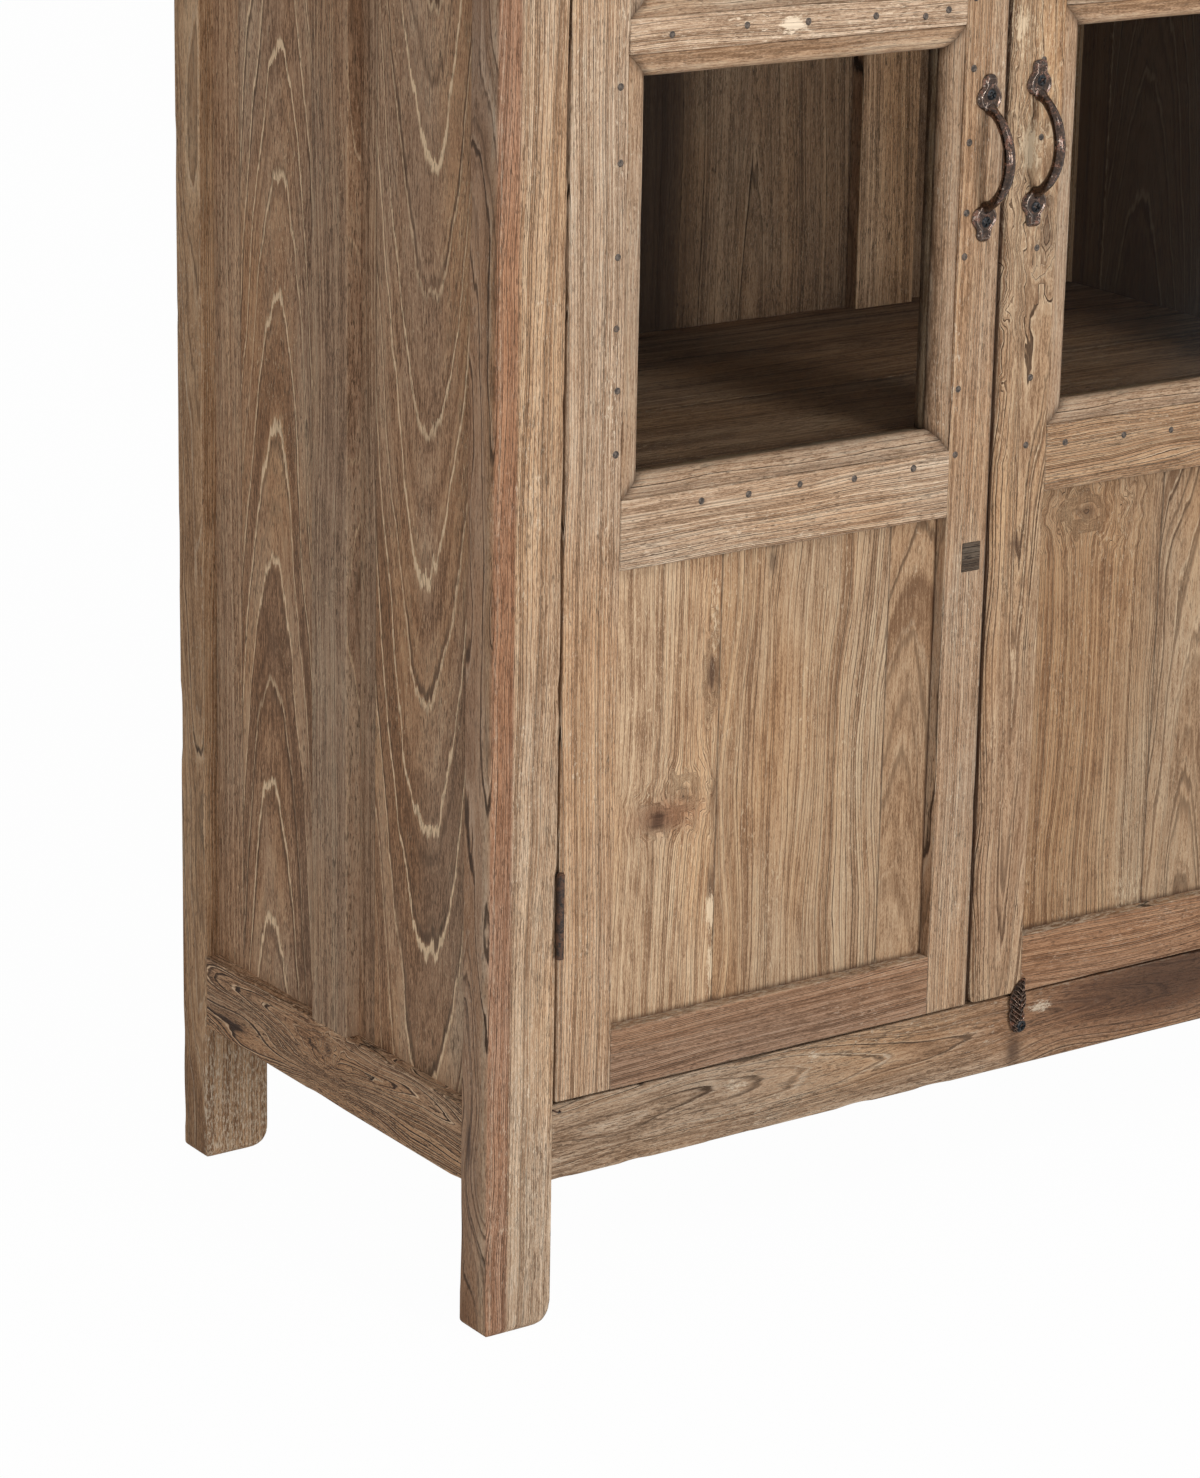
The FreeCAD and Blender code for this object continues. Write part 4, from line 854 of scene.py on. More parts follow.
timber = Timber()
for index, (low, high) in enumerate(solids_of("panels_rear")):
    # The right back panel is made half as light again as the others, as painted light.
    tone = 1.5 if index == 2 else 1.0
    wide = dict(cut="flat", cell=(0.006, 0.014), face=(0, 1), tone=tone, rust=0.25)
    narrow = dict(cut="straight", cell=(0.006, 0.02), face=(0, 1), tone=tone)
    # The middle back panel is darkened at its left as a painted shadow: its narrow board is half as light and
    # a dark mark fades across both boards.
    if index == 1:
        width = high[0] - low[0]
        painted_shadow = ("dark", (low[0] + width * 0.22, low[1], 1.0), (width * 0.3, 0.004, 4.0), 2.2, 1.5)
        wide["marks"] = narrow["marks"] = [painted_shadow]
        narrow["tone"] = tone * 0.5
        glued_panel(timber, low, high, 2, 0, (0.42,), [narrow, wide], 521)
    else:
        glued_panel(timber, low, high, 2, 0, (0.45,), [wide, narrow], 541 + index * 7)
timber.place("panels_rear_timber", "cabinet", "dark_wood", inner_wood, "panels_rear")

# The floor, the shelves and the strips they lie on.
# Loose boards laid side by side on cleats that are fixed to the sides, darker than the outside.


def behind_doors(index, low, high):
    """The first floor board starts just behind the front posts."""
    if index == 0:
        low[1] = front_y + 0.0005


lay_boards("floor_boards", 0, 601, "dark_wood", inner_wood, behind_doors, cell=(0.01, 0.02), tone=0.95)
for level in (1, 2, 3):
    lay_boards(f"shelf_{level}", 0, 631 + level * 5, "dark_wood", inner_wood, cut="flat", ring=0.0055,
               pith=(-0.02, 0.03), lean=(0.0, 0.02), cell=(0.006, 0.012), face=(1, 2), tone=1.35)
lay_boards("cleats", 1, 661, "dark_wood", inner_wood, cell=(0.008, 0.02))

# The top boards and the door stops.
# Three boards lie on the top rails and hang over at the front and the sides. Behind the doors a
# strip at the head and one on the floor take their closing.

lay_boards("top_boards", 0, 701, "frame_wood", frame_wood, cut="flat", cell=(0.007, 0.012), arris=0.003,
           tone=0.97, face=(1, 2))
lay_boards("door_stops", 0, 721, "dark_wood", inner_wood, cell=(0.006, 0.02), face=(2, 1), tone=0.9)

# The door frames: two stiles, three rails and two glazing bars each, joined flush.
# The stiles are straight grained and bleached, with pale rubbed streaks. The right door's
# meeting edge is worn to a wide round, and its stile is a browner, wilder piece.

HINGE_STILE_NAILS = (0.6635, 0.7124, 0.7572, 0.8074, 0.8752, 0.9249)
MEETING_STILE_NAILS = (0.6236, 0.6779, 0.7774, 0.8107, 0.862, 0.9166)
BAR_NAILS = (0.0601, 0.0825, 0.1254, 0.1867, 0.2416, 0.3059)
MIDDLE_RAIL_NAILS = (0.0738, 0.1314, 0.1809, 0.2271, 0.2698)
HINGE_STILE_NAIL_X = 0.3483
MEETING_STILE_NAIL_X = 0.034
MIDDLE_RAIL_NAIL_Z = 0.6205
NAIL_SCATTER = 0.0022
NAIL_STAIN = (0.0032, 0.02, 0.004)
STILE_ARRIS = 0.0016
DOOR_RING = 0.0026
LEFT_HINGE_RING = 0.0027
EDGE_LINE_STEP = 0.0012
EDGE_WEAR = 0.007
EDGE_WEAR_BACK = 0.006
EDGE_FOOT_WEAR = 0.008
LEDGE_BACK = 0.006
LEDGE_REACH = (9.0, 0.0055, 0.0012)

nails = {}
scatter = random.Random(61)
for side, sign in (("left", -1), ("right", 1)):
    panes = solids_of(f"{side}_door_glass")
    pane_pitch = panes[1][0][2] - panes[0][0][2]
    bar_z = (panes[0][1][2] + panes[1][0][2]) / 2
    places = [(x, MIDDLE_RAIL_NAIL_Z) for x in MIDDLE_RAIL_NAILS]
    for level in range(3):
        lift = pane_pitch * level
        places += [(HINGE_STILE_NAIL_X, z + lift) for z in HINGE_STILE_NAILS]
        places += [(MEETING_STILE_NAIL_X, z + lift) for z in MEETING_STILE_NAILS]
        if level < 2:
            places += [(x, bar_z + lift) for x in BAR_NAILS]
    nails[side] = [
        (sign * x + scatter.gauss(0, NAIL_SCATTER / 2), z + scatter.gauss(0, NAIL_SCATTER / 2))
        for x, z in places
    ]


def nail_stains(side, low, high):
    """The dark rings that the nails of a door have left in a board."""
    return [
        ("dark", (x, low[1], z), NAIL_STAIN, 0.6)
        for x, z in nails[side]
        if low[0] <= x <= high[0] and low[2] <= z <= high[2]
    ]


DOOR_FACE_Y = span("left_door_hinge_stile")[0][1]
left_meeting_x = span("left_door_meeting_stile")[1][0]
right_meeting_x = span("right_door_meeting_stile")[0][0]
hinge_looks = {
    "left": dict(tone=1.03, ring=LEFT_HINGE_RING, wild=0.8, habit=(1.7, 0.9, 1.2), marks=on_face(
        DOOR_FACE_Y,
        ("pale", (-0.349, 0.96), (0.007, 0.12), 0.5),
        ("pale", (-0.352, 0.7), (0.006, 0.05), 0.5),
    )),
    "right": dict(tone=0.8, marks=[]),
}
meeting_looks = {
    "left": dict(tone=0.91, ring=DOOR_RING, wild=0.8, habit=(1.6, 0.9, 1.0), marks=on_face(
        DOOR_FACE_Y,
        ("dark", (-0.018, 0.432), (0.014, 0.0025), 0.55),
        ("pale", (-0.038, 0.69), (0.008, 0.05), 0.5),
        ("pale", (-0.02, 0.3), (0.01, 0.05), 0.4),
    # Painted shade along the left meeting stile's edge at the gap between the doors.
    ) + [("dark", (left_meeting_x, DOOR_FACE_Y, 0.9), (0.0013, 1.0, 4.0), 1.6)]),
    "right": dict(
        cut="flat", ring=0.0042, pith=(0.012, 0.024), lean=(0.006, -0.02), tone=0.9, rust=0.03,
        warm=-0.1, wild=4.5, habit=(2.2, 0.9, 0.7), knots=[((0.044, DOOR_FACE_Y, 0.79), 0.014, 0.05)],
        # Painted shade on the right meeting stile's worn edge where it turns into the gap between the doors.
        marks=[("dark", (right_meeting_x, DOOR_FACE_Y + 0.0095, 0.9), (0.005, 0.007, 4.0), 3.0, 3)] + on_face(
            DOOR_FACE_Y,
            ("pale", (0.03, 0.9), (0.04, 0.2), 0.5),
            ("red", (0.03, 0.3), (0.1, 0.2), 0.35),
            ("pale", (0.023, 0.853), (0.007, 0.013), 1.5),
            ("pale", (0.011, 0.946), (0.006, 0.012), 1.3),
            ("dark", (0.027, 0.548), (0.006, 0.012), 0.7),
            ("dark", (0.041, 0.812), (0.008, 0.006), 0.5),
        )),
}
rail_tones = {
    "left": {"bottom": (0.8, 0.6, 0.0), "middle": (1.06, 0.0, -0.15), "top": (0.95, 0.0, 0.0)},
    "right": {"bottom": (0.86, 0.6, 0.2), "middle": (0.84, 0.1, 0.3), "top": (0.86, 0.0, 0.0)},
}
bar_tones = {"left": 1.18, "right": 0.9}


def worn_edge(points):
    """The right door's meeting edge, worn round along its length and at its foot."""
    foot_z = span("right_door_meeting_stile")[0][2]
    rounding(points, (0, right_meeting_x, 1, EDGE_WEAR), (1, DOOR_FACE_Y, 1, EDGE_WEAR_BACK))
    rounding(points, (0, right_meeting_x, 1, EDGE_FOOT_WEAR), (2, foot_z, 1, EDGE_FOOT_WEAR))


def painted_ledge_light(low, high):
    """Painted light on the upper edge of a rail where it stands out from the panel: paler, and less dark and
    red.
    """
    ledge = (0.0, low[1] + LEDGE_BACK, high[2])
    return [(kind, ledge, LEDGE_REACH, strength, 3) for kind, strength in
            (("dark", -0.6), ("red", -1.0), ("pale", 0.8))]


door_gap = {}
for side in ("left", "right"):
    body = side + "_door"
    hinge_low, hinge_high = span(f"{body}_hinge_stile")
    meeting_low, meeting_high = span(f"{body}_meeting_stile")
    inner = (hinge_high[0], meeting_low[0]) if side == "left" else (meeting_high[0], hinge_low[0])
    door_gap[side] = inner
    stiles = (
        (f"{body}_hinge_stile", 811, dict(cell=(0.004, 0.01)), hinge_looks[side], door_wood),
        (f"{body}_meeting_stile", 831, dict(
            cell=(0.004, 0.008), shape=worn_edge if side == "right" else None,
            more={0: [meeting_low[0] + EDGE_LINE_STEP * step for step in range(1, 7)]},
        ), meeting_looks[side], door_wood if side == "left" else panel_wood),
    )
    for node, seed, fit, look, finish in stiles:
        low, high = span(node)
        look["marks"] += nail_stains(side, low, high)
        timber = Timber().board(low, high, 2, seed=seed + len(side), arris=STILE_ARRIS, face=(0, 1),
                                **fit, **look)
        timber.place(node + "_timber", body, "door_wood", finish, node)

    for index, (level, (tone, rust, warm)) in enumerate(rail_tones[side].items()):
        node = f"{body}_{level}_rail"
        low, high = span(node)
        low[0], high[0] = inner[0] - JOINT_LAP, inner[1] + JOINT_LAP
        timber = Timber().board(
            low, high, 0, seed=851 + index * 3 + len(side), cell=(0.004, 0.01), face=(2, 1),
            tone=tone, rust=rust, warm=warm, ring=DOOR_RING, seam=0.4, habit=(1.7, 0.9, 1.0),
            wild=4.0 if (side, level) == ("right", "middle") else 1.6,
            marks=nail_stains(side, low, high) + painted_ledge_light(low, high),
        )
        timber.place(node + "_timber", body, "door_wood", door_wood, node)
    timber = Timber()
    for index, (low, high) in enumerate(solids_of(f"{body}_bars")):
        low[0], high[0] = inner[0] - JOINT_LAP, inner[1] + JOINT_LAP
        marks = nail_stains(side, low, high)
        if side == "left" and index == 0:
            marks += on_face(
                DOOR_FACE_Y,
                ("pale", (-0.2008, 0.9606), (0.009, 0.004), 2.5),
                ("pale", (-0.2, 0.9606), (0.3, 0.03), 0.3),
            )
        timber.board(low, high, 0, seed=871 + index * 3 + len(side), cell=(0.004, 0.008), face=(2, 1),
                     tone=bar_tones[side], ring=DOOR_RING, seam=0.4, warm=-0.2,
                     habit=(1.4, 0.9, 0.8), marks=marks)
    timber.place(f"{body}_bars_timber", body, "door_wood", door_wood, f"{body}_bars")

# The wooden panels at the feet of the doors.
# Each is glued up from three boards of plain, bleached timber with a little arched figure, a
# knot or two and old filled cracks along the joints.

PANEL_FACE_Y = span("left_door_panel")[0][1]
PANEL_TONGUE = 0.004
GRIME_AND_SHADE_REACH = 0.0016

left_boards = [
    dict(
        cut="straight", ring=0.0036, lean=(0.016, 0.0), pith=(-0.13, 0.02), tone=1.01, rust=0.02,
        wild=1.6, habit=(1.1, 0.45, 0.3), knots=[
            ((-0.2935, PANEL_FACE_Y, 0.379), 0.0145, 0.008),
            ((-0.273, PANEL_FACE_Y, 0.395), 0.012, 0.012),
            ((-0.2492, PANEL_FACE_Y, 0.4857), 0.006, 0.03),
        ], marks=on_face(
            PANEL_FACE_Y,
            ("dark", (-0.296, 0.3775), (0.008, 0.0035), 1.2),
            ("red", (-0.288, 0.381), (0.034, 0.014), 0.9),
            ("dark", (-0.2492, 0.4857), (0.003, 0.014), 0.7),
            ("pale", (-0.2452, 0.299), (0.004, 0.012), 2.4),
            ("pale", (-0.2440, 0.255), (0.003, 0.02), 1.8),
            ("dark", (-0.2462, 0.315), (0.003, 0.02), 0.8),
            ("dark", (-0.2455, 0.38), (0.003, 0.05), 0.6),
            ("pale", (-0.2475, 0.53), (0.004, 0.05), 0.9),
        )),
    dict(
        cut="straight", ring=0.005, pith=(-0.14, 0.02), lean=(0.02, 0.0), tone=0.84, rust=0.05,
        wild=2.5, habit=(1.2, 0.5, 0.4),
        marks=on_face(PANEL_FACE_Y, ("dark", (-0.196, 0.563), (0.006, 0.014), 0.8))),
    dict(
        cut="flat", ring=0.0062, pith=(-0.006, 0.06), lean=(0.05, 0.07), tone=0.77, rust=0.08,
        wild=5.0, habit=(0.8, 0.5, 0.4), marks=on_face(
            PANEL_FACE_Y,
            ("pale", (-0.0895, 0.44), (0.002, 0.1), 0.6),
            ("pale", (-0.0885, 0.3), (0.002, 0.05), 0.8),
            ("dark", (-0.0885, 0.36), (0.002, 0.09), 0.5),
            ("dark", (-0.07, 0.52), (0.01, 0.006), 0.35),
            ("pale", (-0.12, 0.22), (0.02, 0.012), 0.9),
        )),
]
right_boards = [
    dict(
        cut="straight", ring=0.0034, pith=(-0.16, 0.02), lean=(0.006, 0.0), tone=0.72, rust=0.08,
        wild=2.0, habit=(1.2, 0.8, 0.5), knots=[((0.106, PANEL_FACE_Y, 0.56), 0.02, 0.012)],
        marks=on_face(PANEL_FACE_Y, ("pale", (0.17, 0.24), (0.02, 0.02), 1.0))),
    dict(
        cut="flat", ring=0.007, pith=(0.0, 0.05), lean=(0.03, 0.06), tone=0.74, rust=0.08, wild=4.0,
        habit=(1.5, 0.7, 0.5)),
    dict(cut="straight", ring=0.0045, tone=0.72, rust=0.1),
]
panel_plan = {
    "left": (left_boards, (0.3355, 0.843), 0.0),
    "right": (right_boards, (0.46, 0.8), -0.1),
}
for side, (boards, shares, warm) in panel_plan.items():
    body = side + "_door"
    low, high = span(f"{body}_panel")
    low[0], high[0] = door_gap[side][0] - PANEL_TONGUE, door_gap[side][1] + PANEL_TONGUE
    foot_z, head_z = span(f"{body}_bottom_rail")[1][2], span(f"{body}_middle_rail")[0][2]
    # Dark lines along the panel's edges where it meets the rails and stiles: grime and painted shade.
    grime_and_shade = on_face(
        PANEL_FACE_Y,
        ("dark", (0.0, foot_z), (9.0, GRIME_AND_SHADE_REACH), 0.8),
        ("dark", (0.0, head_z), (9.0, GRIME_AND_SHADE_REACH), 0.8),
        ("dark", (door_gap[side][0], 0.4), (GRIME_AND_SHADE_REACH, 9.0), 0.8),
        ("dark", (door_gap[side][1], 0.4), (GRIME_AND_SHADE_REACH, 9.0), 0.9),
    )
    for look in boards:
        look.update(cell=(0.003, 0.006), face=(0, 1), warm=warm, marks=look.get("marks", []) + grime_and_shade)
    timber = Timber()
    glued_panel(timber, low, high, 2, 0, shares, boards, 907 + len(side))
    timber.place(f"{body}_panel_timber", body, "door_wood", panel_wood, f"{body}_panel")

# The glazing beads and the strips behind the panes.
# Rounded beads are mitred at the corners and pinned to the inside of each opening, proud of the
# glass. Plain strips hold the pane from behind.

BEAD_WIDTH = 0.0168
BEAD_DEPTH = 0.011
BEAD_ROUND = 0.009
STRIP_WIDTH = 0.015
STRIP_DEPTH = 0.010
STRIP_ROUND = 0.001
PANE_LAP = 0.001
BEAD_CELL = 0.012
BEAD_BEND = 0.00025
BEAD_SINK = 0.0002
BEAD_RING = 0.0045
BEAD_FIRST_RING = 60
BEAD_SWAY_SIZE = 0.04
BEAD_WEAR = 0.25
BEAD_HABIT = (0.8, 0.7, 0.5)
EDGE_GRIME = 0.55
END_GRIME = 0.6
bead_tones = [(0.86, 0.74, 0.9, 0.9), (0.9, 0.82, 0.87, 0.88), (0.85, 0.9, 0.8, 0.87)]
strip_tones = (0.85, 0.85, 0.85, 0.85)


def bead_section(width, depth, bend, steps):
    """A strip's outline as pairs (towards the glass, back from the face)."""
    outline = [(0.0, depth), (0.0, bend * 0.12), (bend * 0.12, 0.0)]
    for step in range(steps + 1):
        angle = math.pi / 2 * step / steps
        outline.append((width - bend + bend * math.sin(angle), bend - bend * math.cos(angle)))
    outline.append((width, depth))
    return outline


def mitred_frame(timber, x, z, face_y, section, seed, tones):
    """Four strips round an opening, each with its ends cut to mitres."""
    corners = [(x[0], z[0]), (x[1], z[0]), (x[1], z[1]), (x[0], z[1])]
    for index in range(4):
        start = np.array(corners[index])
        end = np.array(corners[(index + 1) % 4])
        length = np.linalg.norm(end - start)
        run = (end - start) / length
        inward = np.array((-run[1], run[0]))
        count = max(8, round(length / BEAD_CELL))
        shares = np.linspace(0, 1, count + 1)
        points, grain = [], []
        place = np.stack((shares * length, shares * 0, shares * 0 + seed), 1)
        wobble = lattice_noise(place, BEAD_SWAY_SIZE, seed + index)
        for share, bend in zip(shares, wobble):
            for over, back in section:
                at = start + run * (over + (length - 2 * over) * share)
                at = at + inward * (over - BEAD_SINK + bend * BEAD_BEND)
                points.append((at[0], face_y + back, at[1]))
                grain.append((over + seed * 1.1 + index, back, length * share + index))
        ring_size = len(section)
        quads = []
        for step in range(count):
            for side_index in range(ring_size):
                near = step * ring_size + side_index
                beside = step * ring_size + (side_index + 1) % ring_size
                quads.append((near, beside, beside + ring_size, near + ring_size))
        for step, flip in ((0, False), (count, True)):
            base = step * ring_size
            half = ring_size // 2
            for side_index in range(half):
                first, last = base + side_index, base + ring_size - 1 - side_index
                if side_index + 1 < ring_size - 2 - side_index:
                    cap = (first, last, last - 1, first + 1)
                    quads.append(cap[::-1] if flip else cap)
        points = np.array(points)
        grain = np.array(grain)
        rings = grain[:, 0] / BEAD_RING + BEAD_FIRST_RING + np.repeat(wobble, ring_size) * 0.4
        edge = np.full(len(points), BEAD_WEAR)
        tone = np.full(len(points), tones[index])
        stain = np.zeros((len(points), 3))
        outer_edge = np.tile([pair[0] < 1e-6 for pair in section], count + 1)
        stain[:, 0] = np.where(outer_edge, EDGE_GRIME, 0.0)
        stain[:ring_size, 0] = stain[-ring_size:, 0] = END_GRIME
        figure = np.stack((rings, edge, tone), 1)
        timber.add(points, np.array(quads), grain, figure, stain, BEAD_HABIT)


bead = bead_section(BEAD_WIDTH, BEAD_DEPTH, BEAD_ROUND, 7)
strip = bead_section(STRIP_WIDTH, STRIP_DEPTH, STRIP_ROUND, 2)
for side in ("left", "right"):
    body = side + "_door"
    beads, strips = Timber(), Timber()
    bead_y, strip_y = span(f"{body}_beads")[0][1], span(f"{body}_glass_strips")[0][1]
    for index, (pane_low, pane_high) in enumerate(solids_of(f"{body}_glass")):
        opening_z = (pane_low[2] - PANE_LAP, pane_high[2] + PANE_LAP)
        mitred_frame(beads, door_gap[side], opening_z, bead_y, bead, 31 + index, bead_tones[index])
        mitred_frame(strips, door_gap[side], opening_z, strip_y, strip, 41 + index, strip_tones)
    beads.place(f"{body}_beads_timber", body, "door_wood", door_wood, f"{body}_beads")
    strips.place(f"{body}_glass_strips_timber", body, "door_wood", door_wood, f"{body}_glass_strips")

# The panes.
# Three sheets of plain old window glass in each door, held between the beads and the strips. A
# thin film of dust lies on them.

PANE_SHEEN = 0.2
DUST_SHARE = 0.006
DUST_SCALE = 40


def cover(piece, finish):
    """Gives a piece one material and no other."""
    piece.data.materials.clear()
    piece.data.materials.append(finish)


pane_finish = Finish("pane_glass")
clear = pane_finish.node("ShaderNodeBsdfTransparent", None, {"Color": (0.96, 0.97, 0.96, 1.0)})
sheen = pane_finish.node("ShaderNodeBsdfPrincipled", None, {
    "Base Color": (0.02, 0.02, 0.02, 1.0), "Roughness": 0.03, "Specular IOR Level": 0.5,
})
pane_place = pane_finish.node("ShaderNodeTexCoord", output="Object")
dust = pane_finish.noise(pane_place, DUST_SCALE, 4, 0.7)
facing = pane_finish.node("ShaderNodeFresnel", None, {"IOR": 1.45})
pane_share = facing * PANE_SHEEN + pane_finish.rise(dust, 0.5, 0.9) * DUST_SHARE
pane_mix = pane_finish.node("ShaderNodeMixShader", None, {0: pane_share, 1: clear, 2: sheen})
pane_glass = pane_finish.close(pane_mix)
for side in ("left", "right"):
    cover(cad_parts[f"{side}_door_glass"], pane_glass)

# The nails in the door frames.
# Small flat-headed iron nails hold the joints and the beads from the front. Their grey heads
# stand a hair proud, no two turned alike, each in the dark ring that it has stained.

NAIL_HEAD = 0.0029
NAIL_PROUD = 0.0006
NAIL_SIDES = 10
NAIL_CROWN_SHARE = 0.6
NAIL_TILT = 0.06
RUST_PATCHES = 130
RUST_SCALES = 420
RUST_PITS = 1300
PIT_DEPTH = 0.0003


class Recipe(Graph):
    """A geometry node group under construction, with one input for each named size."""

    def __init__(self, name, sizes):
        tree = bpy.data.node_groups.new(name, "GeometryNodeTree")
        tree.interface.new_socket("Geometry", in_out="INPUT", socket_type="NodeSocketGeometry")
        tree.interface.new_socket("Geometry", in_out="OUTPUT", socket_type="NodeSocketGeometry")
        for key in sizes:
            tree.interface.new_socket(key, in_out="INPUT", socket_type="NodeSocketFloat")
        super().__init__(tree)
        source = tree.nodes.new("NodeGroupInput")
        self.given = {socket.name: Signal(self, socket) for socket in source.outputs if socket.name}

    def vector(self, x=0.0, y=0.0, z=0.0):
        """Three numbers as one signal."""
        return self.node("ShaderNodeCombineXYZ", None, {0: x, 1: y, 2: z})

    def moved(self, shape, shift):
        """A shape set off by a vector."""
        return self.node("GeometryNodeTransform", None, {"Geometry": shape, "Translation": shift})

    def joined(self, *shapes):
        """Several shapes as one."""
        join = self.tree.nodes.new("GeometryNodeJoinGeometry")
        for shape in shapes:
            self.tree.links.new(shape.socket, join.inputs[0])
        return Signal(self, join.outputs[0])


def repeated(name, places, sizes, shape, material, tilt, seed):
    """One mesh of the same small part at each place, its front towards the viewer of the doors,
    each turned by chance round its own axis and tilted a little."""
    recipe = Recipe(name, sizes)
    made = shape(recipe, recipe.given)
    facing_out = recipe.node("GeometryNodeTransform", None, {
        "Geometry": made, "Rotation": (math.pi / 2, 0.0, 0.0),
    })
    turn = recipe.node("FunctionNodeRandomValue", {"data_type": "FLOAT_VECTOR"}, {
        0: (-tilt, -math.pi, -tilt), 1: (tilt, math.pi, tilt), "Seed": seed,
    })
    spread = recipe.node("GeometryNodeInstanceOnPoints", None, {
        "Points": recipe.given["Geometry"], "Instance": facing_out, "Rotation": turn,
    })
    solid = recipe.node("GeometryNodeRealizeInstances", None, {"Geometry": spread})
    dressed = recipe.node("GeometryNodeSetMaterial", None, {"Geometry": solid, "Material": material})
    end = recipe.tree.nodes.new("NodeGroupOutput")
    recipe.tree.links.new(dressed.socket, end.inputs[0])

    seeds = bpy.data.meshes.new(name + "_places")
    seeds.from_pydata(places, [], [])
    carrier = show(name + "_places", seeds)
    modifier = carrier.modifiers.new("spread", "NODES")
    for item in recipe.tree.interface.items_tree:
        if item.in_out == "INPUT" and item.name in sizes:
            modifier[item.identifier] = sizes[item.name]
    modifier.node_group = recipe.tree
    return plain_piece(carrier, name)


def plain_piece(carrier, name):
    """What the modifiers of an object make, as a plain mesh. The object itself goes."""
    bpy.context.view_layer.update()
    ready = carrier.evaluated_get(bpy.context.evaluated_depsgraph_get())
    mesh = bpy.data.meshes.new_from_object(ready)
    mesh.name = name
    bpy.data.objects.remove(carrier)
    return show(name, mesh)


def nail_head(recipe, given):
    """A flat round head with a slanting rim. The axis is Z."""
    return recipe.node("GeometryNodeMeshCone", None, {
        "Vertices": NAIL_SIDES, "Radius Top": given["Radius"] * NAIL_CROWN_SHARE,
        "Radius Bottom": given["Radius"], "Depth": given["Height"],
    })


def old_iron(name, deep, base, rust, rub_and_highlight, rust_share=0.5, metal=0.55, roughness=0.5, coat=0.0,
             crests=None):
    """Iron with patches of brown rust and darker scale, pitted and rubbed. Its crests can be
    lightened, as rubbed wear and painted highlight, and its hollows left dark."""
    finish = Finish(name)
    place = finish.node("ShaderNodeTexCoord", output="Object")
    patches = finish.noise(place, RUST_PATCHES, 4, 0.65)
    scale = finish.noise(place, RUST_SCALES, 3, 0.6)
    pits = finish.noise(place, RUST_PITS, 2, 0.6)
    colour = finish.mix(finish.rise(scale, 0.35, 0.65), (*deep, 1.0), (*base, 1.0))
    reach = rust_share * 0.3
    rusty = finish.rise(patches + (scale - 0.5) * 0.5, 0.62 - reach, 0.8 - reach)
    colour = finish.mix(rusty, colour, (*rust, 1.0))
    rubbed = finish.rise(pits + (patches - 0.5) * 0.4, 0.6, 0.72)
    colour = finish.mix(rubbed * 0.5, colour, (*rub_and_highlight, 1.0))
    if crests:
        least, most, share = crests
        sharpness = finish.node("ShaderNodeNewGeometry", output="Pointiness")
        hollow = finish.rise(1 - sharpness, least, most)
        colour = finish.mix(hollow * share, colour, (*deep, 1.0))
        # Crests lightened towards the rubbed colour: rubbed wear, and painted highlight.
        colour = finish.mix(finish.rise(sharpness, least, most) * share, colour, (*rub_and_highlight, 1.0))
    bump = finish.node("ShaderNodeBump", None, {
        "Strength": 0.35, "Distance": PIT_DEPTH, "Height": scale * 0.6 + pits * 0.6,
    })
    shader = finish.node("ShaderNodeBsdfPrincipled", None, {
        "Base Color": colour, "Metallic": metal - rusty * (metal * 0.8),
        "Roughness": roughness + rusty * 0.18 + (pits - 0.5) * 0.2, "Normal": bump,
        "Coat Weight": coat, "Coat Roughness": 0.16,
    })
    return finish.close(shader)


nail_iron = old_iron(
    "nail_iron", plain(50, 43, 38), plain(98, 87, 78), plain(88, 66, 50), plain(140, 130, 120),
    rust_share=0.3,
)
for side in ("left", "right"):
    face_y = span(f"{side}_door_hinge_stile")[0][1]
    heads = repeated(
        f"{side}_door_nails", [(x, face_y + NAIL_PROUD / 6, z) for x, z in nails[side]],
        {"Radius": NAIL_HEAD, "Height": NAIL_PROUD}, nail_head, nail_iron, NAIL_TILT, 5,
    )
    dress(heads, f"{side}_door", "dark_steel")

# The dark plug in the left door.
# The squared end of a hardwood peg, driven into the meeting stile just below the middle rail and
# darkened by age.

PEG_X = (-0.0253, -0.0070)
PEG_Z = (0.5325, 0.5560)
PEG_PROUD = 0.0004
PEG_DEPTH = 0.006
PEG_CELL = 0.0012
PEG_RIM = 0.003

peg_face = span("left_door_meeting_stile")[0][1]
peg = Timber().board(
    (PEG_X[0], peg_face - PEG_PROUD, PEG_Z[0]), (PEG_X[1], peg_face + PEG_DEPTH, PEG_Z[1]), 0,
    seed=977, cell=(PEG_CELL, PEG_CELL), tone=0.2, face=(2, 1), wear=0.4, marks=on_face(
        peg_face,
        ("dark", (PEG_X[0], PEG_Z[0]), (PEG_RIM, 0.02), 0.5),
        ("dark", (PEG_X[1], PEG_Z[1]), (0.02, PEG_RIM), 0.5),
        ("dark", (-0.018, 0.545), (0.004, 0.008), 0.4),
    ),
)
peg.place("left_door_peg", "left_door", "door_wood", door_wood)

# The hinges.
# Plain pressed steel butt hinges, three to a door, let in and screwed to post and stile. Only
# their knuckles show, rusted dark.

hinge_iron = old_iron(
    "hinge_rust", plain(30, 22, 17), plain(62, 46, 36), plain(84, 56, 38), plain(120, 96, 78),
    rust_share=0.6, metal=0.3, roughness=0.6,
)
for node in ("post_hinge_leaves", "left_door_hinge_leaves", "right_door_hinge_leaves", "hinge_pins",
             "post_hinge_screws", "left_door_hinge_screws", "right_door_hinge_screws"):
    cover(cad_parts[node], hinge_iron)

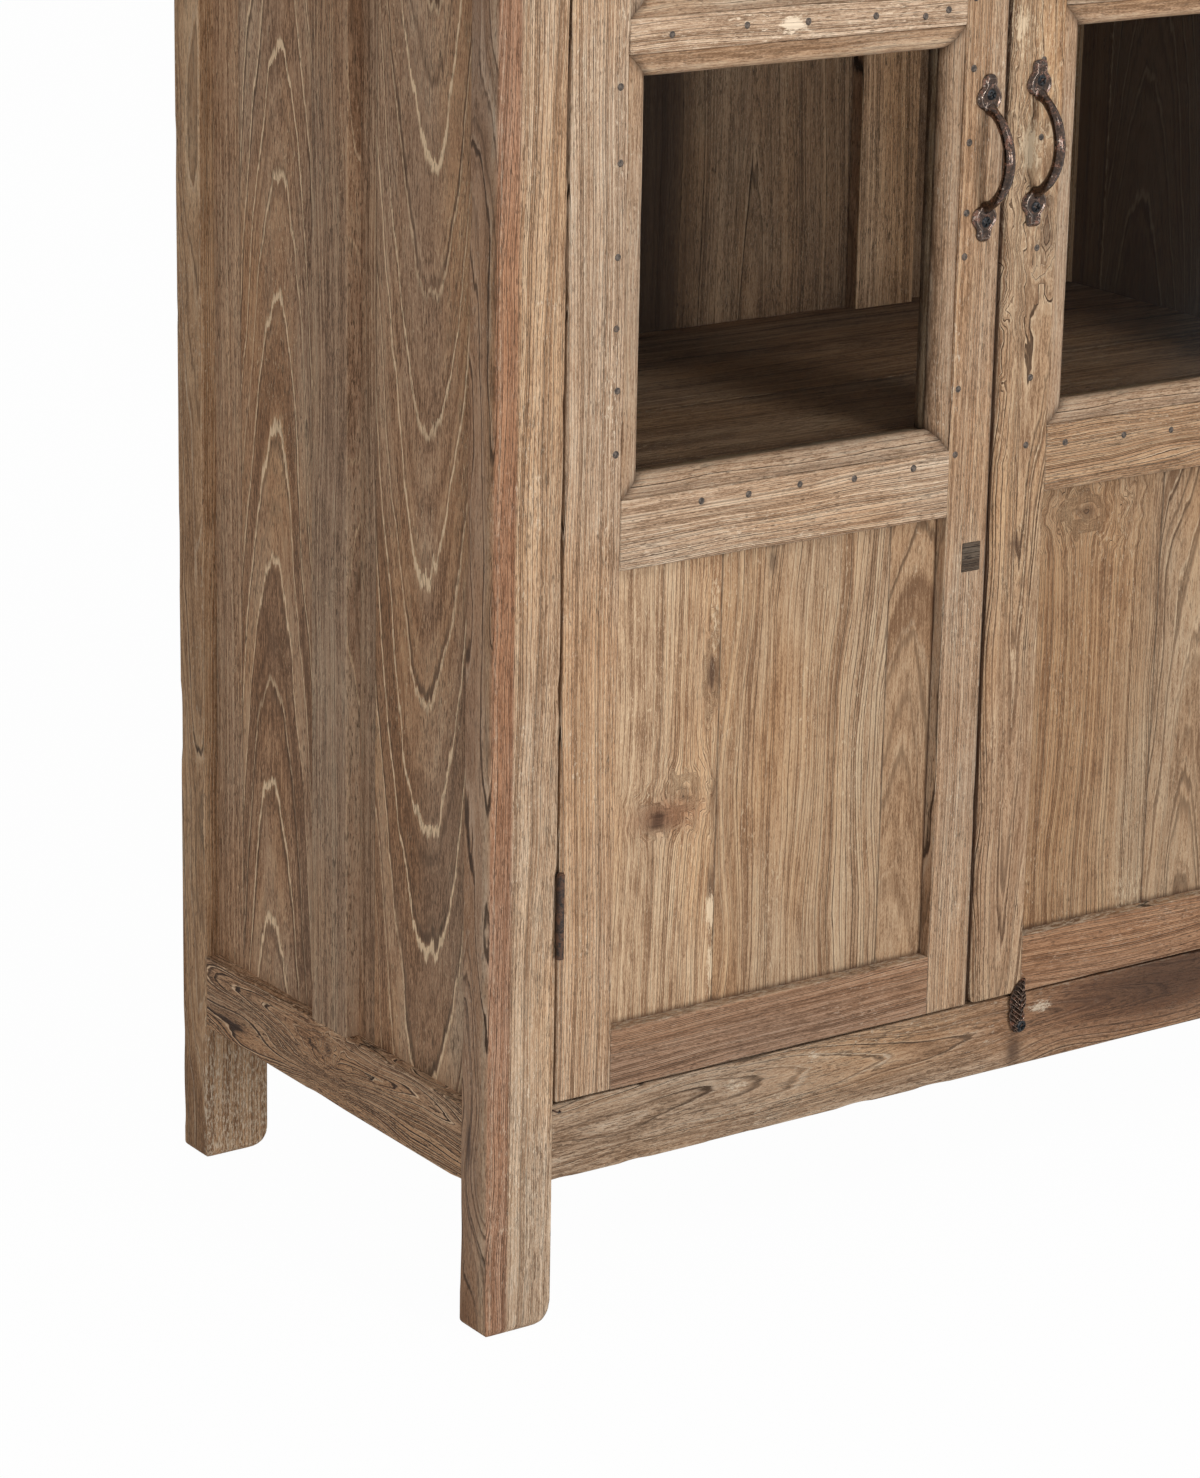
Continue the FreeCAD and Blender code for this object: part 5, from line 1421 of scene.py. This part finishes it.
# The bow handles.
# Each is one iron casting: a spade-shaped plate at either end, with a bevelled rim and a small
# curl at the root of the bow, and a round bow that swells towards its middle.

PLATE_RISE = 0.0034
PLATE_EDGE = 0.0012
PLATE_BEVEL = 0.0030
PLATE_RIDGE = 0.0007
PLATE_BODY = (0.0118, 0.0095, -0.0030)
PLATE_TIP = (0.0071, 0.0074, 0.0078)
PLATE_BLEND = 5.0
BOW_RADIUS = 0.0034
BOW_SWELL = 0.0012
BOW_FLARE = 0.0016
BOW_REACH = 0.027
BOW_INSET = 0.0105
SCREW_PITCH = 0.095
CURL_RADIUS = 0.0009
CURL_SIDES = 10
CAST_CELL = 0.00046
CAST_EASING = 2
CAST_GRAIN = 0.00006
CAST_WAVES = ((0.0035, 71, 1.0), (0.0016, 72, 0.5))
BOW_STEPS = 60
FLARE_REACH = 0.005
PLATE_STEPS = 48
PLATE_SPREAD = 24
RIDGE_REACH = 0.0008
CURL_PATH = (
    (-0.0046, -0.0112), (-0.0054, -0.0096), (-0.0050, -0.0078), (-0.0034, -0.0064),
    (-0.0016, -0.0058), (0.0004, -0.0060),
)
squareness = {"left": 2.3, "right": 3.6}


def plate_half_width(along, tip_power):
    """Half the width of a handle's plate at a distance from its screw towards its tip."""
    total = 0.0
    for (half_width, half_length, middle), power in ((PLATE_BODY, 2.0), (PLATE_TIP, tip_power)):
        away = abs(along - middle) / half_length
        if away < 1:
            total += (half_width * (1 - away ** power) ** (1 / power)) ** PLATE_BLEND
    return total ** (1 / PLATE_BLEND)


def shell_mesh(name, shells):
    """One mesh of closed shells, each given as equal rows of points: tubes, plates, leaves."""
    gathered = bmesh.new()
    for rows in shells:
        made = [[gathered.verts.new(point) for point in row] for row in rows]
        count = len(rows[0])
        for first, second in itertools.pairwise(made):
            for index in range(count):
                after = (index + 1) % count
                gathered.faces.new((first[index], first[after], second[after], second[index]))
        gathered.faces.new(made[0][::-1])
        gathered.faces.new(made[-1])
    bmesh.ops.recalc_face_normals(gathered, faces=gathered.faces)
    mesh = bpy.data.meshes.new(name)
    gathered.to_mesh(mesh)
    gathered.free()
    return mesh


def tube_rows(path, radii, sides=16):
    """Rings of points round a path that keeps to one upright plane."""
    rows = []
    for index, point in enumerate(path):
        before, after = path[max(index - 1, 0)], path[min(index + 1, len(path) - 1)]
        run = (after - before).normalized()
        across = run.orthogonal() if index == 0 else first - run * first.dot(run)
        first = across.normalized()
        second = run.cross(first)
        rows.append([
            point + (first * math.cos(turn) + second * math.sin(turn)) * radii[index]
            for turn in [2 * math.pi * step / sides for step in range(sides)]
        ])
    return rows


def plate_rows(x, face_y, screw_z, end, tip_power):
    """Sections across a handle's plate from the tip to the root of the bow."""
    tip = PLATE_TIP[2] + PLATE_TIP[1]
    root = PLATE_BODY[2] - PLATE_BODY[1]
    rows = []
    for step in range(1, PLATE_STEPS):
        share = 0.5 - 0.5 * math.cos(math.pi * step / PLATE_STEPS)
        along = tip + (root - tip) * share
        half = plate_half_width(along, tip_power)
        row = [Vector((x - half, face_y, screw_z + end * along))]
        for over in range(PLATE_SPREAD + 1):
            across = -1 + 2 * over / PLATE_SPREAD
            inset = min((1 - abs(across)) * half, (tip - along) * 0.9, (along - root) * 2)
            bevel = min(1.0, inset / PLATE_BEVEL)
            rise = PLATE_EDGE + (PLATE_RISE - PLATE_EDGE) * math.sin(bevel * math.pi / 2)
            rise += PLATE_RIDGE * math.exp(-(((inset - PLATE_BEVEL) / RIDGE_REACH) ** 2))
            row.append(Vector((x + half * across, face_y - rise, screw_z + end * along)))
        row.append(Vector((x + half, face_y, screw_z + end * along)))
        rows.append(row if end > 0 else row[::-1])
    return rows


def bow_rows(x, face_y, middle_z):
    """The round bow from one plate to the other, thickest in the middle and flared at its ends."""
    half_chord = SCREW_PITCH / 2 - BOW_INSET
    rise = BOW_REACH - PLATE_RISE / 2
    curve = (half_chord ** 2 + rise ** 2) / (2 * rise)
    half_sweep = math.asin(half_chord / curve)
    path, radii = [], []
    for step in range(BOW_STEPS + 1):
        turn = half_sweep * (step / (BOW_STEPS / 2) - 1)
        out_y = face_y - BOW_REACH + curve - curve * math.cos(turn)
        path.append(Vector((x, out_y, middle_z + curve * math.sin(turn))))
        left_over = (half_sweep - abs(turn)) * curve
        swell = BOW_SWELL * math.cos(math.pi / 2 * turn / half_sweep)
        radii.append(BOW_RADIUS + swell + BOW_FLARE * math.exp(-((left_over / FLARE_REACH) ** 2)))
    return tube_rows(path, radii)


cast_iron = old_iron(
    "cast_iron", plain(46, 33, 25), plain(80, 60, 47), plain(108, 64, 41), plain(176, 160, 146),
    rust_share=0.35, metal=0.85, roughness=0.18, coat=0.4, crests=(0.51, 0.55, 0.6),
)
handle_places = {}
for side, tip_power in squareness.items():
    x, _, middle_z = sum(span(f"{side}_handle")) / 2
    face_y = span(f"{side}_door_hinge_stile")[0][1]
    handle_places[side] = (x, face_y, middle_z)
    shells = [bow_rows(x, face_y, middle_z)]
    for end in (1, -1):
        screw_z = middle_z + end * SCREW_PITCH / 2
        curl = [
            Vector((x + across, face_y - PLATE_RISE, screw_z + end * along))
            for across, along in CURL_PATH
        ]
        shells.append(plate_rows(x, face_y, screw_z, end, tip_power))
        shells.append(tube_rows(curl, [CURL_RADIUS] * len(curl), CURL_SIDES))
    rough = shell_mesh(f"{side}_handle_rough", shells)
    carrier = show(rough.name, rough)
    fused = carrier.modifiers.new("fused", "REMESH")
    fused.mode = "VOXEL"
    fused.voxel_size = CAST_CELL
    fused.use_smooth_shade = True
    eased = carrier.modifiers.new("eased", "SMOOTH")
    eased.factor = 0.5
    eased.iterations = CAST_EASING
    casting = plain_piece(carrier, f"{side}_handle_casting")
    points = np.empty(len(casting.data.vertices) * 3)
    casting.data.vertices.foreach_get("co", points)
    points = points.reshape(-1, 3)
    normals = np.array([vertex.normal for vertex in casting.data.vertices])
    waves = sum(share * lattice_noise(points, size, seed) for size, seed, share in CAST_WAVES)
    points += normals * (waves * CAST_GRAIN)[:, None]
    casting.data.vertices.foreach_set("co", points.ravel())
    cover(casting, cast_iron)
    dress(casting, f"{side}_door", "cast_iron", f"{side}_handle")

# The screws of the handles and of the latch.
# Blackened steel wood screws with low domed heads and a cross slot, driven through the castings
# into the stiles and the base rail.

HEAD_RADIUS = 0.0045
HEAD_RISE = 0.0016
HEAD_SIDES = 32
SHOULDER_SHARE = 0.9
CROWN_SHARE = 0.62
SHANK_SIDES = 12
SCREW_TILT = 0.05
SHANK_RADIUS = 0.0019
SHANK_LENGTH = 0.019
CROSS_LENGTH = 1.25
CROSS_WIDTH = 0.3


def cross_head_screw(recipe, given):
    """A domed head with a cross sunk in it, on a plain shank. The axis is Z, the head up."""
    radius, rise, shank = given["Radius"], given["Rise"], given["Shank"]
    rim = recipe.node("GeometryNodeMeshCone", None, {
        "Vertices": HEAD_SIDES, "Radius Top": radius * SHOULDER_SHARE, "Radius Bottom": radius,
        "Depth": rise * 0.5,
    })
    crown = recipe.node("GeometryNodeMeshCone", None, {
        "Vertices": HEAD_SIDES, "Radius Top": radius * CROWN_SHARE,
        "Radius Bottom": radius * SHOULDER_SHARE, "Depth": rise * 0.5,
    })
    crown = recipe.moved(crown, recipe.vector(z=rise * 0.5))
    stem = recipe.node("GeometryNodeMeshCylinder", None, {
        "Vertices": SHANK_SIDES, "Radius": SHANK_RADIUS, "Depth": shank,
    })
    stem = recipe.moved(stem, recipe.vector(z=shank * -0.5))
    arms = []
    for size_x, size_y in ((CROSS_LENGTH, CROSS_WIDTH), (CROSS_WIDTH, CROSS_LENGTH)):
        arm = recipe.node("GeometryNodeMeshCube", None, {
            "Size": recipe.vector(radius * size_x, radius * size_y, rise * 1.5),
        })
        arms.append(recipe.moved(arm, recipe.vector(z=rise)))
    boolean = recipe.tree.nodes.new("GeometryNodeMeshBoolean")
    boolean.operation = "DIFFERENCE"
    boolean.solver = "EXACT"
    recipe.tree.links.new(recipe.joined(crown, rim).socket, boolean.inputs["Mesh 1"])
    for arm in arms:
        recipe.tree.links.new(arm.socket, boolean.inputs["Mesh 2"])
    return recipe.joined(Signal(recipe, boolean.outputs["Mesh"]), stem)


screw_steel = old_iron(
    "screw_steel", plain(24, 25, 27), plain(50, 52, 54), plain(56, 48, 42), plain(112, 114, 116),
    rust_share=0.15, metal=0.9, roughness=0.4,
)
screw_sizes = {"Radius": HEAD_RADIUS, "Rise": HEAD_RISE, "Shank": SHANK_LENGTH}
for side, (x, face_y, middle_z) in handle_places.items():
    head_y = face_y - PLATE_RISE + HEAD_RISE * 0.25
    places = [(x, head_y, middle_z + end * SCREW_PITCH / 2) for end in (1, -1)]
    screws = repeated(
        f"{side}_handle_cross_screws", places, screw_sizes, cross_head_screw, screw_steel,
        SCREW_TILT, len(side),
    )
    dress(screws, f"{side}_door", "dark_steel", f"{side}_handle_screws")

# The leaf latch.
# A thin iron casting like a feathered leaf: a vein up the middle, slanting ribs and a notched
# edge. It turns on one screw in the base rail, and rust sits in its hollows.

LATCH_HEAD_RADIUS = 0.0047
LATCH_SCREW_TILT = 0.02
LEAF_BACK_GAP = 0.0005
LEAF_EDGE = 0.0010
LEAF_RISE = 0.0026
LEAF_RIB = 0.0011
LEAF_RIB_PITCH = 0.0042
LEAF_BOSS = 0.0056
VEIN_RISE = 0.0005
VEIN_REACH = 0.0007
VEIN_X = -0.0006
VEIN_SWAY = 0.0034
VEIN_TURN = (0.02, 0.039)
TIP_EDGE = 0.0004
EDGE_REACH = 0.003
RIB_REACH = 0.0012
VALLEY_REACH = 0.001
RIB_LEAN = 0.85
LEAF_STEPS = 63
LEAF_SPREAD = 32
BOSS_SIDES = 28
BOSS_DEPTHS = (0.0014, 0.0, -0.0022, -0.0027)
LEAF_OUTLINE = (
    (-0.0045, -0.0062, -0.0015), (-0.0020, -0.0078, 0.0030), (0.0035, -0.0098, 0.0042),
    (0.0085, -0.0108, 0.0046), (0.0120, -0.0110, 0.0030), (0.0145, -0.0096, 0.0040),
    (0.0190, -0.0110, 0.0056), (0.0250, -0.0104, 0.0050), (0.0300, -0.0086, 0.0036),
    (0.0350, -0.0050, 0.0036), (0.0380, -0.0012, 0.0037), (0.0392, 0.0016, 0.0034),
)

pivot_x, _, pivot_z = sum(span("latch_screw")) / 2
leaf_back = span("left_door_hinge_stile")[0][1] - LEAF_BACK_GAP
heights, lefts, rights = zip(*LEAF_OUTLINE)
rows = []
for step in range(LEAF_STEPS + 1):
    along = heights[0] + (heights[-1] - heights[0]) * step / LEAF_STEPS
    left = float(np.interp(along, heights, lefts))
    right = float(np.interp(along, heights, rights))
    turned = max(0.0, (along - VEIN_TURN[0]) / (VEIN_TURN[1] - VEIN_TURN[0]))
    vein = VEIN_X + VEIN_SWAY * turned ** 1.6
    row = [Vector((pivot_x + left, leaf_back, pivot_z + along))]
    for over in range(LEAF_SPREAD + 1):
        across = left + (right - left) * over / LEAF_SPREAD
        from_edge = max(0.0, min(across - left, right - across, heights[-1] - along + TIP_EDGE))
        from_vein = abs(across - vein)
        rise = LEAF_EDGE + (LEAF_RISE - LEAF_EDGE) * min(1.0, from_edge / EDGE_REACH) ** 0.6
        ribs = math.cos(2 * math.pi * (along - from_vein * RIB_LEAN) / LEAF_RIB_PITCH)
        ribs *= min(1.0, from_edge / RIB_REACH) * min(1.0, from_vein / VALLEY_REACH)
        rise += LEAF_RIB * ribs
        rise += VEIN_RISE * math.exp(-((from_vein / VEIN_REACH) ** 2))
        row.append(Vector((pivot_x + across, leaf_back - rise, pivot_z + along)))
    row.append(Vector((pivot_x + right, leaf_back, pivot_z + along)))
    rows.append(row)
boss_path = [Vector((pivot_x, leaf_back + depth, pivot_z)) for depth in BOSS_DEPTHS]
boss_rows = tube_rows(boss_path, [LEAF_BOSS] * 3 + [LEAF_BOSS * 0.9], BOSS_SIDES)
leaf_mesh = shell_mesh("leaf_latch_casting", [rows, boss_rows])
leaf_iron = old_iron(
    "leaf_iron", plain(34, 24, 18), plain(80, 60, 47), plain(112, 68, 44), plain(158, 134, 116),
    rust_share=0.3, metal=0.8, roughness=0.24, coat=0.2, crests=(0.54, 0.62, 0.6),
)
leaf_mesh.materials.append(leaf_iron)
dress(show(leaf_mesh.name, leaf_mesh), "latch", "cast_iron", "leaf_latch")

latch_screw = repeated(
    "latch_cross_screw", [(pivot_x, leaf_back - LEAF_RISE, pivot_z)],
    {"Radius": LATCH_HEAD_RADIUS, "Rise": HEAD_RISE, "Shank": SHANK_LENGTH}, cross_head_screw,
    screw_steel, LATCH_SCREW_TILT, 3,
)
dress(latch_screw, "cabinet", "dark_steel", "latch_screw")

# The wire staple.
# A bit of dark wire bent to a loop and driven into the base rail under the left door's corner.

WIRE_RADIUS = 0.0007
WIRE_SIDES = 12
WIRE_PATH = (
    (-0.0030, -0.0015, 0.0004), (-0.0031, 0.0008, 0.0004), (-0.0028, 0.0022, 0.0002),
    (-0.0016, 0.0033, -0.0004), (0.0000, 0.0036, -0.0008), (0.0016, 0.0032, -0.0010),
    (0.0026, 0.0020, -0.0012), (0.0028, 0.0008, -0.0012), (0.0027, -0.0015, -0.0012),
)

wire_x, _, wire_z = sum(span("wire_staple")) / 2
wire_y = span("wire_staple")[1][1]
wire_path = [Vector((wire_x + across, wire_y - out, wire_z + up)) for across, out, up in WIRE_PATH]
wire_rows = tube_rows(wire_path, [WIRE_RADIUS] * len(wire_path), WIRE_SIDES)
wire_mesh = shell_mesh("wire_staple_bent", [wire_rows])
wire_mesh.shade_smooth()
wire_mesh.materials.append(hinge_iron)
dress(show(wire_mesh.name, wire_mesh), "cabinet", "rusty_steel", "wire_staple")
